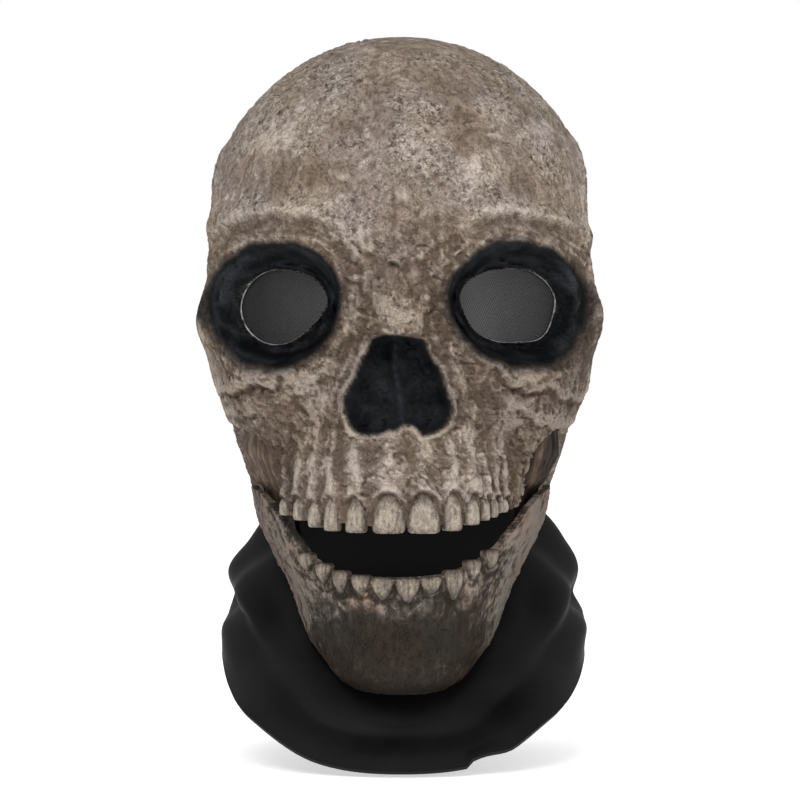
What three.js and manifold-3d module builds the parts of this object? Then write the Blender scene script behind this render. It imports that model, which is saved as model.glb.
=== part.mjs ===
// A full-head skull mask of moulded latex: a skull shell open at the neck, a jaw moulding hung
// below it, two soft cheek webs between them, two gauze panels in the eye openings and a black
// neck skirt. Millimetres, +Z up, the face looks along -Y and +X is the wearer's left.
// The origin is the inside of the crown, where the mask sits on the wearer's head.
import * as THREE from 'three';
import { mergeVertices } from 'three/addons/utils/BufferGeometryUtils.js';
import Module from 'manifold-3d';

const wasm = await Module();
wasm.setup();

// Walls and clearances.
const SKULL_WALL = 3;
const JAW_WALL = 3;
const WEB_WALL = 2;
const SKIRT_WALL = 2;
const GAUZE = { setBack: 1, thick: 1, gap: 0.4 };

// Fineness of the faceted walls: columns go round, rows go down.
const SKULL_GRID = { columns: 46, domeRows: 7, faceRows: 17, crowding: 0.45 };
const JAW_GRID = { columns: 32, rows: 11, crowding: 0.3 };
const WEB_GRID = { columns: 8, rows: 10 };
const SKIRT_GRID = { columns: 40, rows: 9, crowding: 0 };
const ROUND_SIDES = 24;

// The cranium is a dome above its widest level, and level sections below it.
const DOME = { z: -85, height: 85 + SKULL_WALL, halfWidth: 88, front: 97, back: 112, power: 2.15 };
const DOME_FULLNESS = { front: 0.9, back: 0.8 };
const BACK_POWER = 2.1;
const SKULL_SECTIONS = [
  { z: -85, halfWidth: 88, front: 97, back: 112, power: 2.15 },
  { z: -105, halfWidth: 88, front: 98.5, back: 113, power: 2.4 },
  { z: -125, halfWidth: 88, front: 97, back: 112, power: 2.5 },
  { z: -150, halfWidth: 84, front: 95, back: 106, power: 2.45 },
  { z: -176, halfWidth: 76, front: 96, back: 97, power: 2.3 },
  { z: -204, halfWidth: 67.5, front: 99, back: 88, power: 2.2 },
  { z: -228, halfWidth: 62, front: 100, back: 81, power: 2.2 },
];

// Eye sockets: the rim, the floor and the tilted opening in the floor.
const SOCKETS = [
  {
    side: 'right', x: -55.2, z: -120.5, halfWidth: 28.4, halfHeight: 28.4, floorY: -63, floorSlope: 0.34,
    eyeX: -51, eyeZ: -120.7, eyeHalfWidth: 19.2, eyeHalfHeight: 15.7, tilt: 14,
  },
  {
    side: 'left', x: 50.5, z: -118, halfWidth: 31, halfHeight: 29, floorY: -65, floorSlope: -0.32,
    eyeX: 46.5, eyeZ: -119.8, eyeHalfWidth: 20.7, eyeHalfHeight: 16.2, tilt: 8,
  },
];
const SOCKET_FORM = { floorMargin: 3.5, reach: 40 };
const SOCKET_RIM = { height: 2.2, at: 1.14, spread: 0.13 };
const BROW = { height: 4.5, at: 1.5, spread: 0.2, fromRise: 0.1, toRise: 0.8 };
const GLABELLA = { z: -92, halfWidth: 16, halfHeight: 13, height: 3.5 };

// The nose: a bony bridge above an opening of two lobes, divided by a septum.
const BRIDGE = { topZ: -98, fullZ: -126, endZ: -131, dropZ: -134, height: 11, halfWidth: 12 };
const NOSE_OUTLINE = [
  { z: -131, halfWidth: 9.5 }, { z: -140, halfWidth: 12.6 }, { z: -150, halfWidth: 17 },
  { z: -158, halfWidth: 21.5 }, { z: -164, halfWidth: 23.6 }, { z: -170, halfWidth: 22 },
  { z: -175, halfWidth: 17 }, { z: -177.5, halfWidth: 11.3 }, { z: -175.5, halfWidth: 5 },
  { z: -172, halfWidth: 0 },
];
const NOSE = { x: -0.5, middleZ: -156, halfWidth: 23.6, halfHeight: 23, floorY: -80, mouthY: -130 };
const SEPTUM = { thick: 2.6, standOut: 6, topZ: -136, bottomZ: -170 };

// Cheekbones, the arch behind them, the hollow beside the teeth, the temples and the gum.
const CHEEKBONE = { x: 63, z: -158, halfWidth: 20, halfHeight: 15, height: 4.5 };
const ARCH = { z: -129, halfHeight: 14, height: 7.2, fromY: -58, fullY: -38, fadeY: 10, endY: 40 };
const CHEEK_HOLLOW = { x: 40, z: -176, halfWidth: 12, halfHeight: 13, depth: 3.5 };
const TEMPLES = [
  { side: -1, y: 20, z: -103, halfLength: 60, halfHeight: 58, depth: 4.4 },
  { side: 1, y: 13, z: -103, halfLength: 58, halfHeight: 61, depth: 5 },
];
const TEMPLE_LINE = { height: 1.5, spread: 0.07, slope: 0.2 };
const GUM = { topZ: -178, fullZ: -194, height: 5, fadeX: 36, endX: 58 };

// The skull's lower edge from the side: teeth, cheekbone, the ear's bone and the nape.
const SKULL_EDGE = [
  { y: -140, z: -225 }, { y: -106, z: -216 }, { y: -68, z: -206.5 }, { y: -66, z: -182 },
  { y: -58, z: -175 }, { y: -25, z: -171 }, { y: 4, z: -170 }, { y: 6, z: -196 },
  { y: 22, z: -210 }, { y: 45, z: -207 }, { y: 140, z: -207 }, { y: 140, z: -260 }, { y: -140, z: -260 },
];

// Teeth: place across the arch, width along it, the biting end and the root end.
const UPPER_TEETH = [
  { x: -51.5, width: 8, tipZ: -213, rootZ: -203 },
  { x: -45, width: 8.5, tipZ: -215, rootZ: -203 },
  { x: -37.8, width: 7.8, tipZ: -217.3, rootZ: -203.5 },
  { x: -29.8, width: 8.2, tipZ: -218, rootZ: -202.5 },
  { x: -19, width: 10.2, tipZ: -219, rootZ: -202.5 },
  { x: -5.3, width: 14.2, tipZ: -219, rootZ: -200.5 },
  { x: 10, width: 14.2, tipZ: -218.8, rootZ: -200.8 },
  { x: 22.4, width: 8.2, tipZ: -217.2, rootZ: -202 },
  { x: 30.6, width: 7.8, tipZ: -215.8, rootZ: -202.5 },
  { x: 36.8, width: 6.2, tipZ: -213.8, rootZ: -203 },
  { x: 41.6, width: 6.6, tipZ: -212.8, rootZ: -203 },
  { x: 46.6, width: 7.6, tipZ: -211.5, rootZ: -202.5 },
];
const LOWER_TEETH = [
  { x: -41, width: 9.2, tipZ: -225.5, rootZ: -234 },
  { x: -33.6, width: 8.8, tipZ: -229.5, rootZ: -239 },
  { x: -26.1, width: 7.8, tipZ: -232.8, rootZ: -244 },
  { x: -17.5, width: 8, tipZ: -234.6, rootZ: -244.5 },
  { x: -8.2, width: 9, tipZ: -236.2, rootZ: -246.5 },
  { x: 2.6, width: 9.6, tipZ: -236.5, rootZ: -248 },
  { x: 12.4, width: 8.8, tipZ: -236.2, rootZ: -244.5 },
  { x: 22.4, width: 9.2, tipZ: -234, rootZ: -247 },
  { x: 30.8, width: 8.6, tipZ: -230, rootZ: -239 },
  { x: 38.6, width: 9.6, tipZ: -226, rootZ: -234.5 },
];
const TOOTH = { thick: 7, standOut: 1.8, roundness: 0.55, segments: 2 };

// The jaw stands open. Its lower edge runs from the jaw's angle down to the chin.
const JAW_SECTIONS = [
  { z: -194, halfWidth: 68.5, front: 98, back: 60, power: 2.2 },
  { z: -214, halfWidth: 65, front: 100.5, back: 60, power: 2.2 },
  { z: -230, halfWidth: 57.8, front: 102, back: 56, power: 2.2 },
  { z: -244, halfWidth: 51.2, front: 100.5, back: 50, power: 2.2 },
  { z: -258, halfWidth: 47.2, front: 98.5, back: 46, power: 2.2 },
  { z: -267, halfWidth: 45, front: 98, back: 44, power: 2.2 },
  { z: -276, halfWidth: 39.5, front: 97.5, back: 40, power: 2.2 },
  { z: -283, halfWidth: 35, front: 95.5, back: 36, power: 2.2 },
  { z: -287.5, halfWidth: 28, front: 90, back: 30, power: 2.1 },
];
const CHIN = { z: -277, halfWidth: 19, halfHeight: 8, height: 3.5 };
const JAW_EDGE = [
  { y: -140, z: -250 }, { y: -106, z: -238.5 }, { y: -92, z: -234 }, { y: -80, z: -228 },
  { y: -66, z: -215.5 }, { y: -56, z: -207 }, { y: -40, z: -202 }, { y: 1, z: -199.5 },
  { y: 2, z: -222 }, { y: -8, z: -231 }, { y: -70, z: -284 }, { y: -74, z: -300 }, { y: -140, z: -300 },
];

// Cheek webs: tucked inside the skull wall above, flush between, tucked inside the jaw below.
const WEB_SECTIONS = [
  { z: -162, halfWidth: 72.2, front: 85, back: 86, power: 2.3 },
  { z: -170, halfWidth: 71, front: 86, back: 85, power: 2.3 },
  { z: -177, halfWidth: 71.2, front: 86.5, back: 84, power: 2.3 },
  { z: -184, halfWidth: 71.4, front: 87, back: 83, power: 2.3 },
  { z: -191, halfWidth: 69, front: 87, back: 82, power: 2.25 },
  { z: -197, halfWidth: 66, front: 87, back: 80, power: 2.2 },
  { z: -202, halfWidth: 61.6, front: 88, back: 78, power: 2.2 },
  { z: -214, halfWidth: 59, front: 90, back: 76, power: 2.2 },
  { z: -224, halfWidth: 54.6, front: 92, back: 72, power: 2.2 },
];
const WEB = { topZ: -163, bottomZ: -216, fromAngle: 43, toAngle: 99 };
const WEB_TUCK = { fromAngle: 76, toAngle: 91, depth: 5 };

// The neck skirt at angles from the front: its hidden top, where it comes clear, and its hem.
const SKIRT_EDGES = [
  { angle: 0, topRadius: 66, topZ: -279, clearRadius: 68, clearZ: -291, hemRadius: 101, hemZ: -321 },
  { angle: 22, topRadius: 60, topZ: -271, clearRadius: 61, clearZ: -284, hemRadius: 99, hemZ: -318.5 },
  { angle: 42, topRadius: 52, topZ: -255, clearRadius: 53.5, clearZ: -268, hemRadius: 96, hemZ: -304 },
  { angle: 63, topRadius: 46, topZ: -236, clearRadius: 47.5, clearZ: -249, hemRadius: 88, hemZ: -289 },
  { angle: 88, topRadius: 47, topZ: -214, clearRadius: 48.5, clearZ: -229, hemRadius: 84, hemZ: -275 },
  { angle: 100, topRadius: 50, topZ: -204, clearRadius: 50.5, clearZ: -223, hemRadius: 84, hemZ: -273 },
  { angle: 112, topRadius: 61, topZ: -196, clearRadius: 62.5, clearZ: -212, hemRadius: 84, hemZ: -272.5 },
  { angle: 140, topRadius: 71, topZ: -194, clearRadius: 72.5, clearZ: -209, hemRadius: 89, hemZ: -283 },
  { angle: 180, topRadius: 80.5, topZ: -194, clearRadius: 81.5, clearZ: -209, hemRadius: 97, hemZ: -302 },
];
// How far the skirt stands off a straight line from where it comes clear down to its hem.
const SKIRT_FOLDS = [
  { share: 0, side: 0, front: 0 },
  { share: 0.22, side: 5.5, front: 2.5 },
  { share: 0.42, side: 8, front: 2 },
  { share: 0.62, side: 2, front: -1.5 },
  { share: 0.8, side: 4.5, front: 1 },
  { share: 1, side: 0, front: 0 },
];
const SKIRT_TUCK_ROWS = 2;
const SKIRT_FRONT = { fullAngle: 30, endAngle: 75 };

const COLOURS = { bone: 0x98897a, jaw: 0x6e6258, web: 0x4a3a30, gauze: 0x3a3a3a, skirt: 0x1e1e1e };
const TURN_LEAN = 0.5;
const STEP = 0.01;

const radians = THREE.MathUtils.degToRad;
const clamp = THREE.MathUtils.clamp;
const lerp = THREE.MathUtils.lerp;

function smooth(from, to, value) {
  const share = clamp((value - from) / (to - from), 0, 1);
  return share * share * (3 - 2 * share);
}

function hump(...shares) {
  return Math.exp(-shares.reduce((sum, share) => sum + share * share, 0));
}

// Reads a table at any value of its key column, on a smooth curve through its rows.
function rowAt(table, key, value) {
  const end = table.length - 1;
  const rising = table[end][key] > table[0][key];
  const passed = table.findIndex((row) => (rising ? row[key] >= value : row[key] <= value));
  const next = passed < 0 ? end : Math.max(passed, 1);
  const [before, from, to, after] = [-2, -1, 0, 1].map((step) => table[clamp(next + step, 0, end)]);
  const span = to[key] - from[key];
  const t = clamp((value - from[key]) / span, 0, 1);
  const slope = (a, b, column) => ((b[column] - a[column]) / (b[key] - a[key])) * span;
  const found = {};
  for (const column of Object.keys(from)) {
    const start = slope(before, to, column) * (t ** 3 - 2 * t ** 2 + t);
    const finish = slope(from, after, column) * (t ** 3 - t ** 2);
    found[column] = lerp(from[column], to[column], t * t * (3 - 2 * t)) + start + finish;
  }
  return found;
}

// A point on a rounded level ring, at an angle from the front.
function ringPoint(section, angle, z) {
  const facing = Math.cos(angle) > 0;
  const power = facing ? section.power : BACK_POWER;
  const across = Math.abs(Math.sin(angle)) / section.halfWidth;
  const along = Math.abs(Math.cos(angle)) / (facing ? section.front : section.back);
  const radius = (across ** power + along ** power) ** (-1 / power);
  return new THREE.Vector3(radius * Math.sin(angle), -radius * Math.cos(angle), z);
}

// The plain skull without features. Level 0 is the crown, 1 the widest level, 2 the bottom.
function skullBase(angle, level) {
  if (level >= 1) {
    const z = lerp(DOME.z, SKULL_SECTIONS.at(-1).z, level - 1);
    return ringPoint(rowAt(SKULL_SECTIONS, 'z', z), angle, z);
  }
  const turn = (level * Math.PI) / 2;
  const reach = Math.max(Math.sin(turn), 1e-9);
  const section = {
    halfWidth: DOME.halfWidth * reach,
    front: DOME.front * reach ** DOME_FULLNESS.front,
    back: DOME.back * reach ** DOME_FULLNESS.back,
    power: DOME.power,
  };
  return ringPoint(section, angle, DOME.z + DOME.height * Math.cos(turn));
}

// The outward direction of any surface given as a point at an angle and a level.
function outward(surface, angle, level) {
  const middle = surface(angle, level);
  const round = surface(angle + STEP, level).sub(surface(angle - STEP, level));
  const down = surface(angle, level + STEP).sub(surface(angle, Math.max(level - STEP, STEP / 10)));
  const normal = new THREE.Vector3().crossVectors(down, round).normalize();
  return normal.lengthSq() > 0.5 ? normal : middle.normalize();
}

function socketRidges(socket, x, z) {
  const rim = Math.hypot((x - socket.x) / socket.halfWidth, (z - socket.z) / socket.halfHeight);
  const above = smooth(BROW.fromRise, BROW.toRise, (z - socket.z) / socket.halfHeight);
  return SOCKET_RIM.height * hump((rim - SOCKET_RIM.at) / SOCKET_RIM.spread)
    + BROW.height * above * hump((rim - BROW.at) / BROW.spread);
}

function noseBridge(x, z) {
  const rise = smooth(BRIDGE.topZ, BRIDGE.fullZ, z) * smooth(BRIDGE.dropZ, BRIDGE.endZ, z);
  return BRIDGE.height * rise * hump(x / BRIDGE.halfWidth);
}

function sideShape(x, y, z) {
  const arch = smooth(ARCH.fromY, ARCH.fullY, y) * (1 - smooth(ARCH.fadeY, ARCH.endY, y));
  let height = ARCH.height * arch * hump((z - ARCH.z) / ARCH.halfHeight);
  for (const temple of TEMPLES.filter(({ side }) => side * x > 0)) {
    const edge = Math.hypot((y - temple.y) / temple.halfLength, (z - temple.z) / temple.halfHeight);
    height -= temple.depth * smooth(1, 1 - TEMPLE_LINE.slope, edge);
    height += TEMPLE_LINE.height * hump((edge - 1) / TEMPLE_LINE.spread);
  }
  return height;
}

// How far the features stand out from the plain skull.
function skullRelief({ x, y, z }) {
  const facing = smooth(-5, -35, y);
  const across = Math.abs(x);
  const cheek = CHEEKBONE.height
    * hump((across - CHEEKBONE.x) / CHEEKBONE.halfWidth, (z - CHEEKBONE.z) / CHEEKBONE.halfHeight);
  const hollow = CHEEK_HOLLOW.depth
    * hump((across - CHEEK_HOLLOW.x) / CHEEK_HOLLOW.halfWidth, (z - CHEEK_HOLLOW.z) / CHEEK_HOLLOW.halfHeight);
  const gum = GUM.height * smooth(GUM.topZ, GUM.fullZ, z) * (1 - smooth(GUM.fadeX, GUM.endX, across));
  const brow = GLABELLA.height * hump(x / GLABELLA.halfWidth, (z - GLABELLA.z) / GLABELLA.halfHeight);
  let height = cheek - hollow + gum + brow + noseBridge(x, z);
  for (const socket of SOCKETS) {
    height += socketRidges(socket, x, z);
  }
  return height * facing + sideShape(x, y, z);
}

// A point of the skull's wall, set back from its outer face along one steady direction.
function skullPoint(angle, level, setBack) {
  const base = skullBase(angle, level);
  const normal = level < STEP ? new THREE.Vector3(0, 0, 1) : outward(skullBase, angle, level);
  const facing = smooth(-5, -35, base.y) * smooth(0.5, 0.95, level);
  const way = normal.clone().lerp(new THREE.Vector3(0, -1, 0), TURN_LEAN * facing).normalize();
  const through = setBack / clamp(way.dot(normal), 0.5, 1);
  return base.addScaledVector(way, skullRelief(base) - through);
}

function jawBase(angle, level) {
  const z = lerp(JAW_SECTIONS[0].z, JAW_SECTIONS.at(-1).z, level);
  return ringPoint(rowAt(JAW_SECTIONS, 'z', z), angle, z);
}

function jawPoint(angle, level, setBack) {
  const base = jawBase(angle, level);
  const chin = CHIN.height * hump(base.x / CHIN.halfWidth, (base.z - CHIN.z) / CHIN.halfHeight);
  const facing = smooth(-20, -50, base.y);
  const normal = outward(jawBase, angle, clamp(level, STEP, 1 - STEP));
  return base.addScaledVector(normal, chin * facing - setBack);
}

function webBase(angle, level) {
  const z = lerp(WEB.topZ, WEB.bottomZ, level);
  return ringPoint(rowAt(WEB_SECTIONS, 'z', z), angle, z);
}

function webPoint(angle, level, setBack) {
  const turn = Math.abs(THREE.MathUtils.radToDeg(angle));
  const tuck = WEB_TUCK.depth * smooth(WEB_TUCK.fromAngle, WEB_TUCK.toAngle, turn);
  return webBase(angle, level).addScaledVector(outward(webBase, angle, level), -setBack - tuck);
}

// The skirt's rows go on past the front and the back, so that it has no crease there.
function skirtRing() {
  const first = { ...SKIRT_EDGES[1], angle: -SKIRT_EDGES[1].angle };
  const last = { ...SKIRT_EDGES.at(-2), angle: 360 - SKIRT_EDGES.at(-2).angle };
  return [first, ...SKIRT_EDGES, last];
}

function skirtPoint(angle, level, setBack) {
  const turn = Math.abs(THREE.MathUtils.radToDeg(angle));
  const edge = rowAt(skirtRing(), 'angle', turn);
  const tuck = SKIRT_TUCK_ROWS / SKIRT_GRID.rows;
  const share = clamp((level - tuck) / (1 - tuck), 0, 1);
  const fold = rowAt(SKIRT_FOLDS, 'share', share);
  const stand = lerp(fold.front, fold.side, smooth(SKIRT_FRONT.fullAngle, SKIRT_FRONT.endAngle, turn));
  const tucked = level < tuck;
  const radius = tucked
    ? lerp(edge.topRadius, edge.clearRadius, level / tuck)
    : lerp(edge.clearRadius, edge.hemRadius, share) + stand;
  const z = tucked ? lerp(edge.topZ, edge.clearZ, level / tuck) : lerp(edge.clearZ, edge.hemZ, share);
  const inner = radius - setBack;
  return new THREE.Vector3(inner * Math.sin(angle), -inner * Math.cos(angle), z);
}

function geometryFrom(points, faces) {
  const geometry = new THREE.BufferGeometry();
  const flat = points.flatMap((point) => point.toArray());
  geometry.setAttribute('position', new THREE.Float32BufferAttribute(flat, 3));
  geometry.setIndex(faces);
  return mergeVertices(geometry, 1e-4);
}

// Two faces of a quad, by the numbers of its corners in turn.
function quad(a, b, c, d) {
  return [a, b, c, a, c, d];
}

function columnAngle(grid, column) {
  const share = (2 * column) / grid.columns - 1;
  return Math.PI * ((1 - grid.crowding) * share + grid.crowding * share ** 3);
}

// One skin that runs all the way round, its first point's number given.
function ringSkin(place, grid, levels, first) {
  const points = [];
  const faces = [];
  for (const level of levels) {
    for (let column = 0; column < grid.columns; column += 1) {
      points.push(place(columnAngle(grid, column), level));
    }
  }
  const at = (row, column) => first + row * grid.columns + (column % grid.columns);
  for (let row = 0; row + 1 < levels.length; row += 1) {
    for (let column = 0; column < grid.columns; column += 1) {
      faces.push(...quad(at(row, column), at(row + 1, column), at(row + 1, column + 1), at(row, column + 1)));
    }
  }
  return { points, faces, at };
}

// A full block below a pointed top, closed by a flat foot.
function ringBlock(place, grid, levels) {
  const { points, faces, at } = ringSkin(place, grid, levels, 0);
  const foot = levels.length - 1;
  const middle = points.push(new THREE.Vector3(0, 0, points[at(foot, 0)].z)) - 1;
  for (let column = 0; column < grid.columns; column += 1) {
    faces.push(at(foot, column), middle, at(foot, column + 1));
  }
  return geometryFrom(points, faces);
}

// A wall that runs all the way round: an outer and an inner skin joined at both edges.
function ringWall(place, grid, levels, wall) {
  const outer = ringSkin((angle, level) => place(angle, level, 0), grid, levels, 0);
  const inner = ringSkin((angle, level) => place(angle, level, wall), grid, levels, outer.points.length);
  const faces = [...outer.faces, ...inner.faces.reverse()];
  const foot = levels.length - 1;
  for (let column = 0; column < grid.columns; column += 1) {
    const next = column + 1;
    faces.push(...quad(outer.at(0, column), outer.at(0, next), inner.at(0, next), inner.at(0, column)));
    faces.push(...quad(outer.at(foot, column), inner.at(foot, column), inner.at(foot, next), outer.at(foot, next)));
  }
  return geometryFrom([...outer.points, ...inner.points], faces);
}

// A wall that covers part of a turn: two skins joined round all four sides.
function panelWall(place, grid, angles, levels, wall) {
  const points = [];
  const faces = [];
  for (const setBack of wall) {
    for (let row = 0; row <= grid.rows; row += 1) {
      for (let column = 0; column <= grid.columns; column += 1) {
        const angle = lerp(angles[0], angles[1], column / grid.columns);
        points.push(place(angle, lerp(levels[0], levels[1], row / grid.rows), setBack));
      }
    }
  }
  const across = grid.columns + 1;
  const at = (skin, row, column) => (skin * (grid.rows + 1) + row) * across + column;
  for (let row = 0; row < grid.rows; row += 1) {
    for (let column = 0; column < grid.columns; column += 1) {
      const [down, next] = [row + 1, column + 1];
      faces.push(...quad(at(0, row, column), at(0, down, column), at(0, down, next), at(0, row, next)));
      faces.push(...quad(at(1, row, column), at(1, row, next), at(1, down, next), at(1, down, column)));
    }
  }
  for (let column = 0; column < grid.columns; column += 1) {
    const [next, foot] = [column + 1, grid.rows];
    faces.push(...quad(at(0, 0, column), at(0, 0, next), at(1, 0, next), at(1, 0, column)));
    faces.push(...quad(at(0, foot, column), at(1, foot, column), at(1, foot, next), at(0, foot, next)));
  }
  for (let row = 0; row < grid.rows; row += 1) {
    const [down, end] = [row + 1, grid.columns];
    faces.push(...quad(at(0, row, 0), at(1, row, 0), at(1, down, 0), at(0, down, 0)));
    faces.push(...quad(at(0, row, end), at(0, down, end), at(1, down, end), at(1, row, end)));
  }
  return geometryFrom(points, faces);
}

function solidFrom(geometry) {
  const bare = geometry.clone();
  bare.deleteAttribute('normal');
  bare.deleteAttribute('uv');
  const merged = mergeVertices(bare, 1e-3);
  const vertProperties = new Float32Array(merged.attributes.position.array);
  const triVerts = new Uint32Array(merged.index.array);
  return new wasm.Manifold(new wasm.Mesh({ numProp: 3, vertProperties, triVerts }));
}

function meshFrom(solid, name, colour) {
  const { vertProperties, triVerts } = solid.getMesh();
  const geometry = new THREE.BufferGeometry();
  geometry.setAttribute('position', new THREE.Float32BufferAttribute(vertProperties, 3));
  geometry.setIndex(Array.from(triVerts));
  geometry.computeVertexNormals();
  const mesh = new THREE.Mesh(geometry, new THREE.MeshStandardMaterial({ color: colour, roughness: 0.7 }));
  mesh.name = name;
  return mesh;
}

// A side outline of rows with y and z, carried across the whole width.
function acrossWidth(edge) {
  const outline = new THREE.Shape(edge.map(({ y, z }) => new THREE.Vector2(y, z)));
  const geometry = new THREE.ExtrudeGeometry(outline, { depth: 260, bevelEnabled: false });
  geometry.applyMatrix4(new THREE.Matrix4().makeBasis(
    new THREE.Vector3(0, 1, 0),
    new THREE.Vector3(0, 0, 1),
    new THREE.Vector3(1, 0, 0),
  ));
  return solidFrom(geometry.translate(-130, 0, 0));
}

// The depth of the plain face at a place across and a height.
function faceY(x, z) {
  const { halfWidth, front, power } = rowAt(SKULL_SECTIONS, 'z', z);
  return -front * (1 - Math.min(Math.abs(x) / halfWidth, 1) ** power) ** (1 / power);
}

function floorY(socket, x) {
  return socket.floorY + socket.floorSlope * (socket.eyeX - x);
}

// Moves every point of a shape by a rule that gives its new place.
function reshape(geometry, rule) {
  const position = geometry.attributes.position;
  for (let i = 0; i < position.count; i += 1) {
    const [x, y, z] = rule(position.getX(i), position.getY(i), position.getZ(i));
    position.setXYZ(i, x, y, z);
  }
  return geometry;
}

// A socket's hollow, from its flat floor to the rim and straight on, grown all round by a wall.
function socketHollow(socket, grow) {
  const drum = new THREE.CylinderGeometry(1, 1, 2, ROUND_SIDES, 2);
  const margin = SOCKET_FORM.floorMargin;
  return solidFrom(reshape(drum, (across, along, up) => {
    const share = Math.min(1 - along, 1);
    const thick = grow * (1 + share);
    const halfWidth = lerp(socket.eyeHalfWidth + margin, socket.halfWidth, share) + thick;
    const halfHeight = lerp(socket.eyeHalfHeight + margin, socket.halfHeight, share) + thick;
    const x = lerp(socket.eyeX, socket.x, share) + across * halfWidth;
    const z = lerp(socket.eyeZ, socket.z, share) + up * halfHeight;
    const ahead = Math.max(-along, 0) * SOCKET_FORM.reach;
    return [x, lerp(floorY(socket, x) + grow, faceY(x, z), share) - ahead, z];
  }));
}

// An eye opening, or a panel for it, between two depths behind the socket's floor.
function eyeDisc(socket, shrink, from, to) {
  const drum = new THREE.CylinderGeometry(1, 1, 1, ROUND_SIDES);
  drum.scale(socket.eyeHalfWidth - shrink, 1, socket.eyeHalfHeight - shrink);
  drum.rotateY(radians(socket.tilt));
  return solidFrom(reshape(drum, (across, along, up) => {
    const x = socket.eyeX + across;
    return [x, floorY(socket, x) + lerp(from, to, along + 0.5), socket.eyeZ + up];
  }));
}

// The nose's hollow, from its flat floor out past the face, grown all round by a wall.
function noseHollow(grow) {
  const half = NOSE_OUTLINE.map(({ z, halfWidth }) => new THREE.Vector2(halfWidth, z));
  const other = half.slice(0, -1).reverse().map(({ x, y }) => new THREE.Vector2(-x, y));
  const depth = NOSE.floorY + grow - NOSE.mouthY;
  const geometry = new THREE.ExtrudeGeometry(new THREE.Shape([...half, ...other]), { depth, bevelEnabled: false });
  return solidFrom(reshape(geometry, (x, z, along) => [
    NOSE.x + x * (1 + grow / NOSE.halfWidth),
    NOSE.floorY + grow - along,
    NOSE.middleZ + (z - NOSE.middleZ) * (1 + grow / NOSE.halfHeight),
  ]));
}

function septumSolid() {
  const plate = new THREE.BoxGeometry(SEPTUM.thick, SEPTUM.standOut + 1, SEPTUM.topZ - SEPTUM.bottomZ);
  return solidFrom(plate.translate(NOSE.x, NOSE.floorY - SEPTUM.standOut / 2 + 0.5, (SEPTUM.topZ + SEPTUM.bottomZ) / 2));
}

// The angle at which a wall has a wanted place across.
function angleAcross(place, level, x) {
  let [low, high] = [-Math.PI / 2, Math.PI / 2];
  for (let i = 0; i < 40; i += 1) {
    const middle = (low + high) / 2;
    if (place(middle, level, 0).x < x) {
      low = middle;
    } else {
      high = middle;
    }
  }
  return low;
}

// A rounded block for one tooth, set into the wall so that part of it stands out.
function toothSolid(tooth, place, levelAt) {
  const height = Math.abs(tooth.tipZ - tooth.rootZ);
  const middleZ = (tooth.tipZ + tooth.rootZ) / 2;
  const level = levelAt(middleZ);
  const angle = angleAcross(place, level, tooth.x);
  const spot = place(angle, level, 0);
  const beside = place(angle + STEP, level, 0).sub(place(angle - STEP, level, 0));
  const geometry = new THREE.BoxGeometry(1, 1, 1, TOOTH.segments, TOOTH.segments, TOOTH.segments);
  const corner = new THREE.Vector3();
  const position = geometry.attributes.position;
  for (let i = 0; i < position.count; i += 1) {
    corner.fromBufferAttribute(position, i);
    const ball = corner.clone().normalize().multiplyScalar(0.5);
    corner.lerp(ball, TOOTH.roundness * smooth(0.5, 0.87, corner.length()));
    position.setXYZ(i, corner.x, corner.y, corner.z);
  }
  geometry.scale(tooth.width, TOOTH.thick, height);
  geometry.translate(0, TOOTH.thick / 2 - TOOTH.standOut, 0);
  geometry.rotateZ(Math.atan2(beside.y, beside.x));
  return solidFrom(geometry.translate(spot.x, spot.y, middleZ));
}

function skullLevel(z) {
  return 1 + (DOME.z - z) / (DOME.z - SKULL_SECTIONS.at(-1).z);
}

function jawLevel(z) {
  return (JAW_SECTIONS[0].z - z) / (JAW_SECTIONS[0].z - JAW_SECTIONS.at(-1).z);
}

function evenLevels(rows) {
  return Array.from({ length: rows + 1 }, (_, row) => row / rows);
}

// The skull's outer or inner form as a full block.
function skullBlock(setBack) {
  const dome = evenLevels(SKULL_GRID.domeRows);
  const face = evenLevels(SKULL_GRID.faceRows).slice(1).map((level) => 1 + level);
  return solidFrom(ringBlock((angle, level) => skullPoint(angle, level, setBack), SKULL_GRID, [...dome, ...face]));
}

function skullSolid() {
  const hollows = [...SOCKETS.map((socket) => (grow) => socketHollow(socket, grow)), noseHollow];
  let cavity = skullBlock(SKULL_WALL);
  for (const hollow of hollows) {
    cavity = cavity.subtract(hollow(SKULL_WALL));
  }
  let solid = skullBlock(0).subtract(cavity).subtract(acrossWidth(SKULL_EDGE));
  for (const hollow of hollows) {
    solid = solid.subtract(hollow(0));
  }
  for (const socket of SOCKETS) {
    solid = solid.subtract(eyeDisc(socket, 0, -SKULL_WALL, 2 * SKULL_WALL));
  }
  for (const tooth of UPPER_TEETH) {
    solid = solid.add(toothSolid(tooth, skullPoint, skullLevel));
  }
  return solid.add(septumSolid());
}

function jawSolid() {
  let solid = solidFrom(ringWall(jawPoint, JAW_GRID, evenLevels(JAW_GRID.rows), JAW_WALL));
  solid = solid.intersect(acrossWidth(JAW_EDGE));
  for (const tooth of LOWER_TEETH) {
    solid = solid.add(toothSolid(tooth, jawPoint, jawLevel));
  }
  return solid;
}

function webSolid(side) {
  const angles = [side * radians(WEB.fromAngle), side * radians(WEB.toAngle)].sort((a, b) => a - b);
  return solidFrom(panelWall(webPoint, WEB_GRID, angles, [0, 1], [0, WEB_WALL]));
}

// A gauze panel fills the opening but for a narrow gap.
function gauzeSolid(socket) {
  return eyeDisc(socket, GAUZE.gap, GAUZE.setBack, GAUZE.setBack + GAUZE.thick);
}

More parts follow.
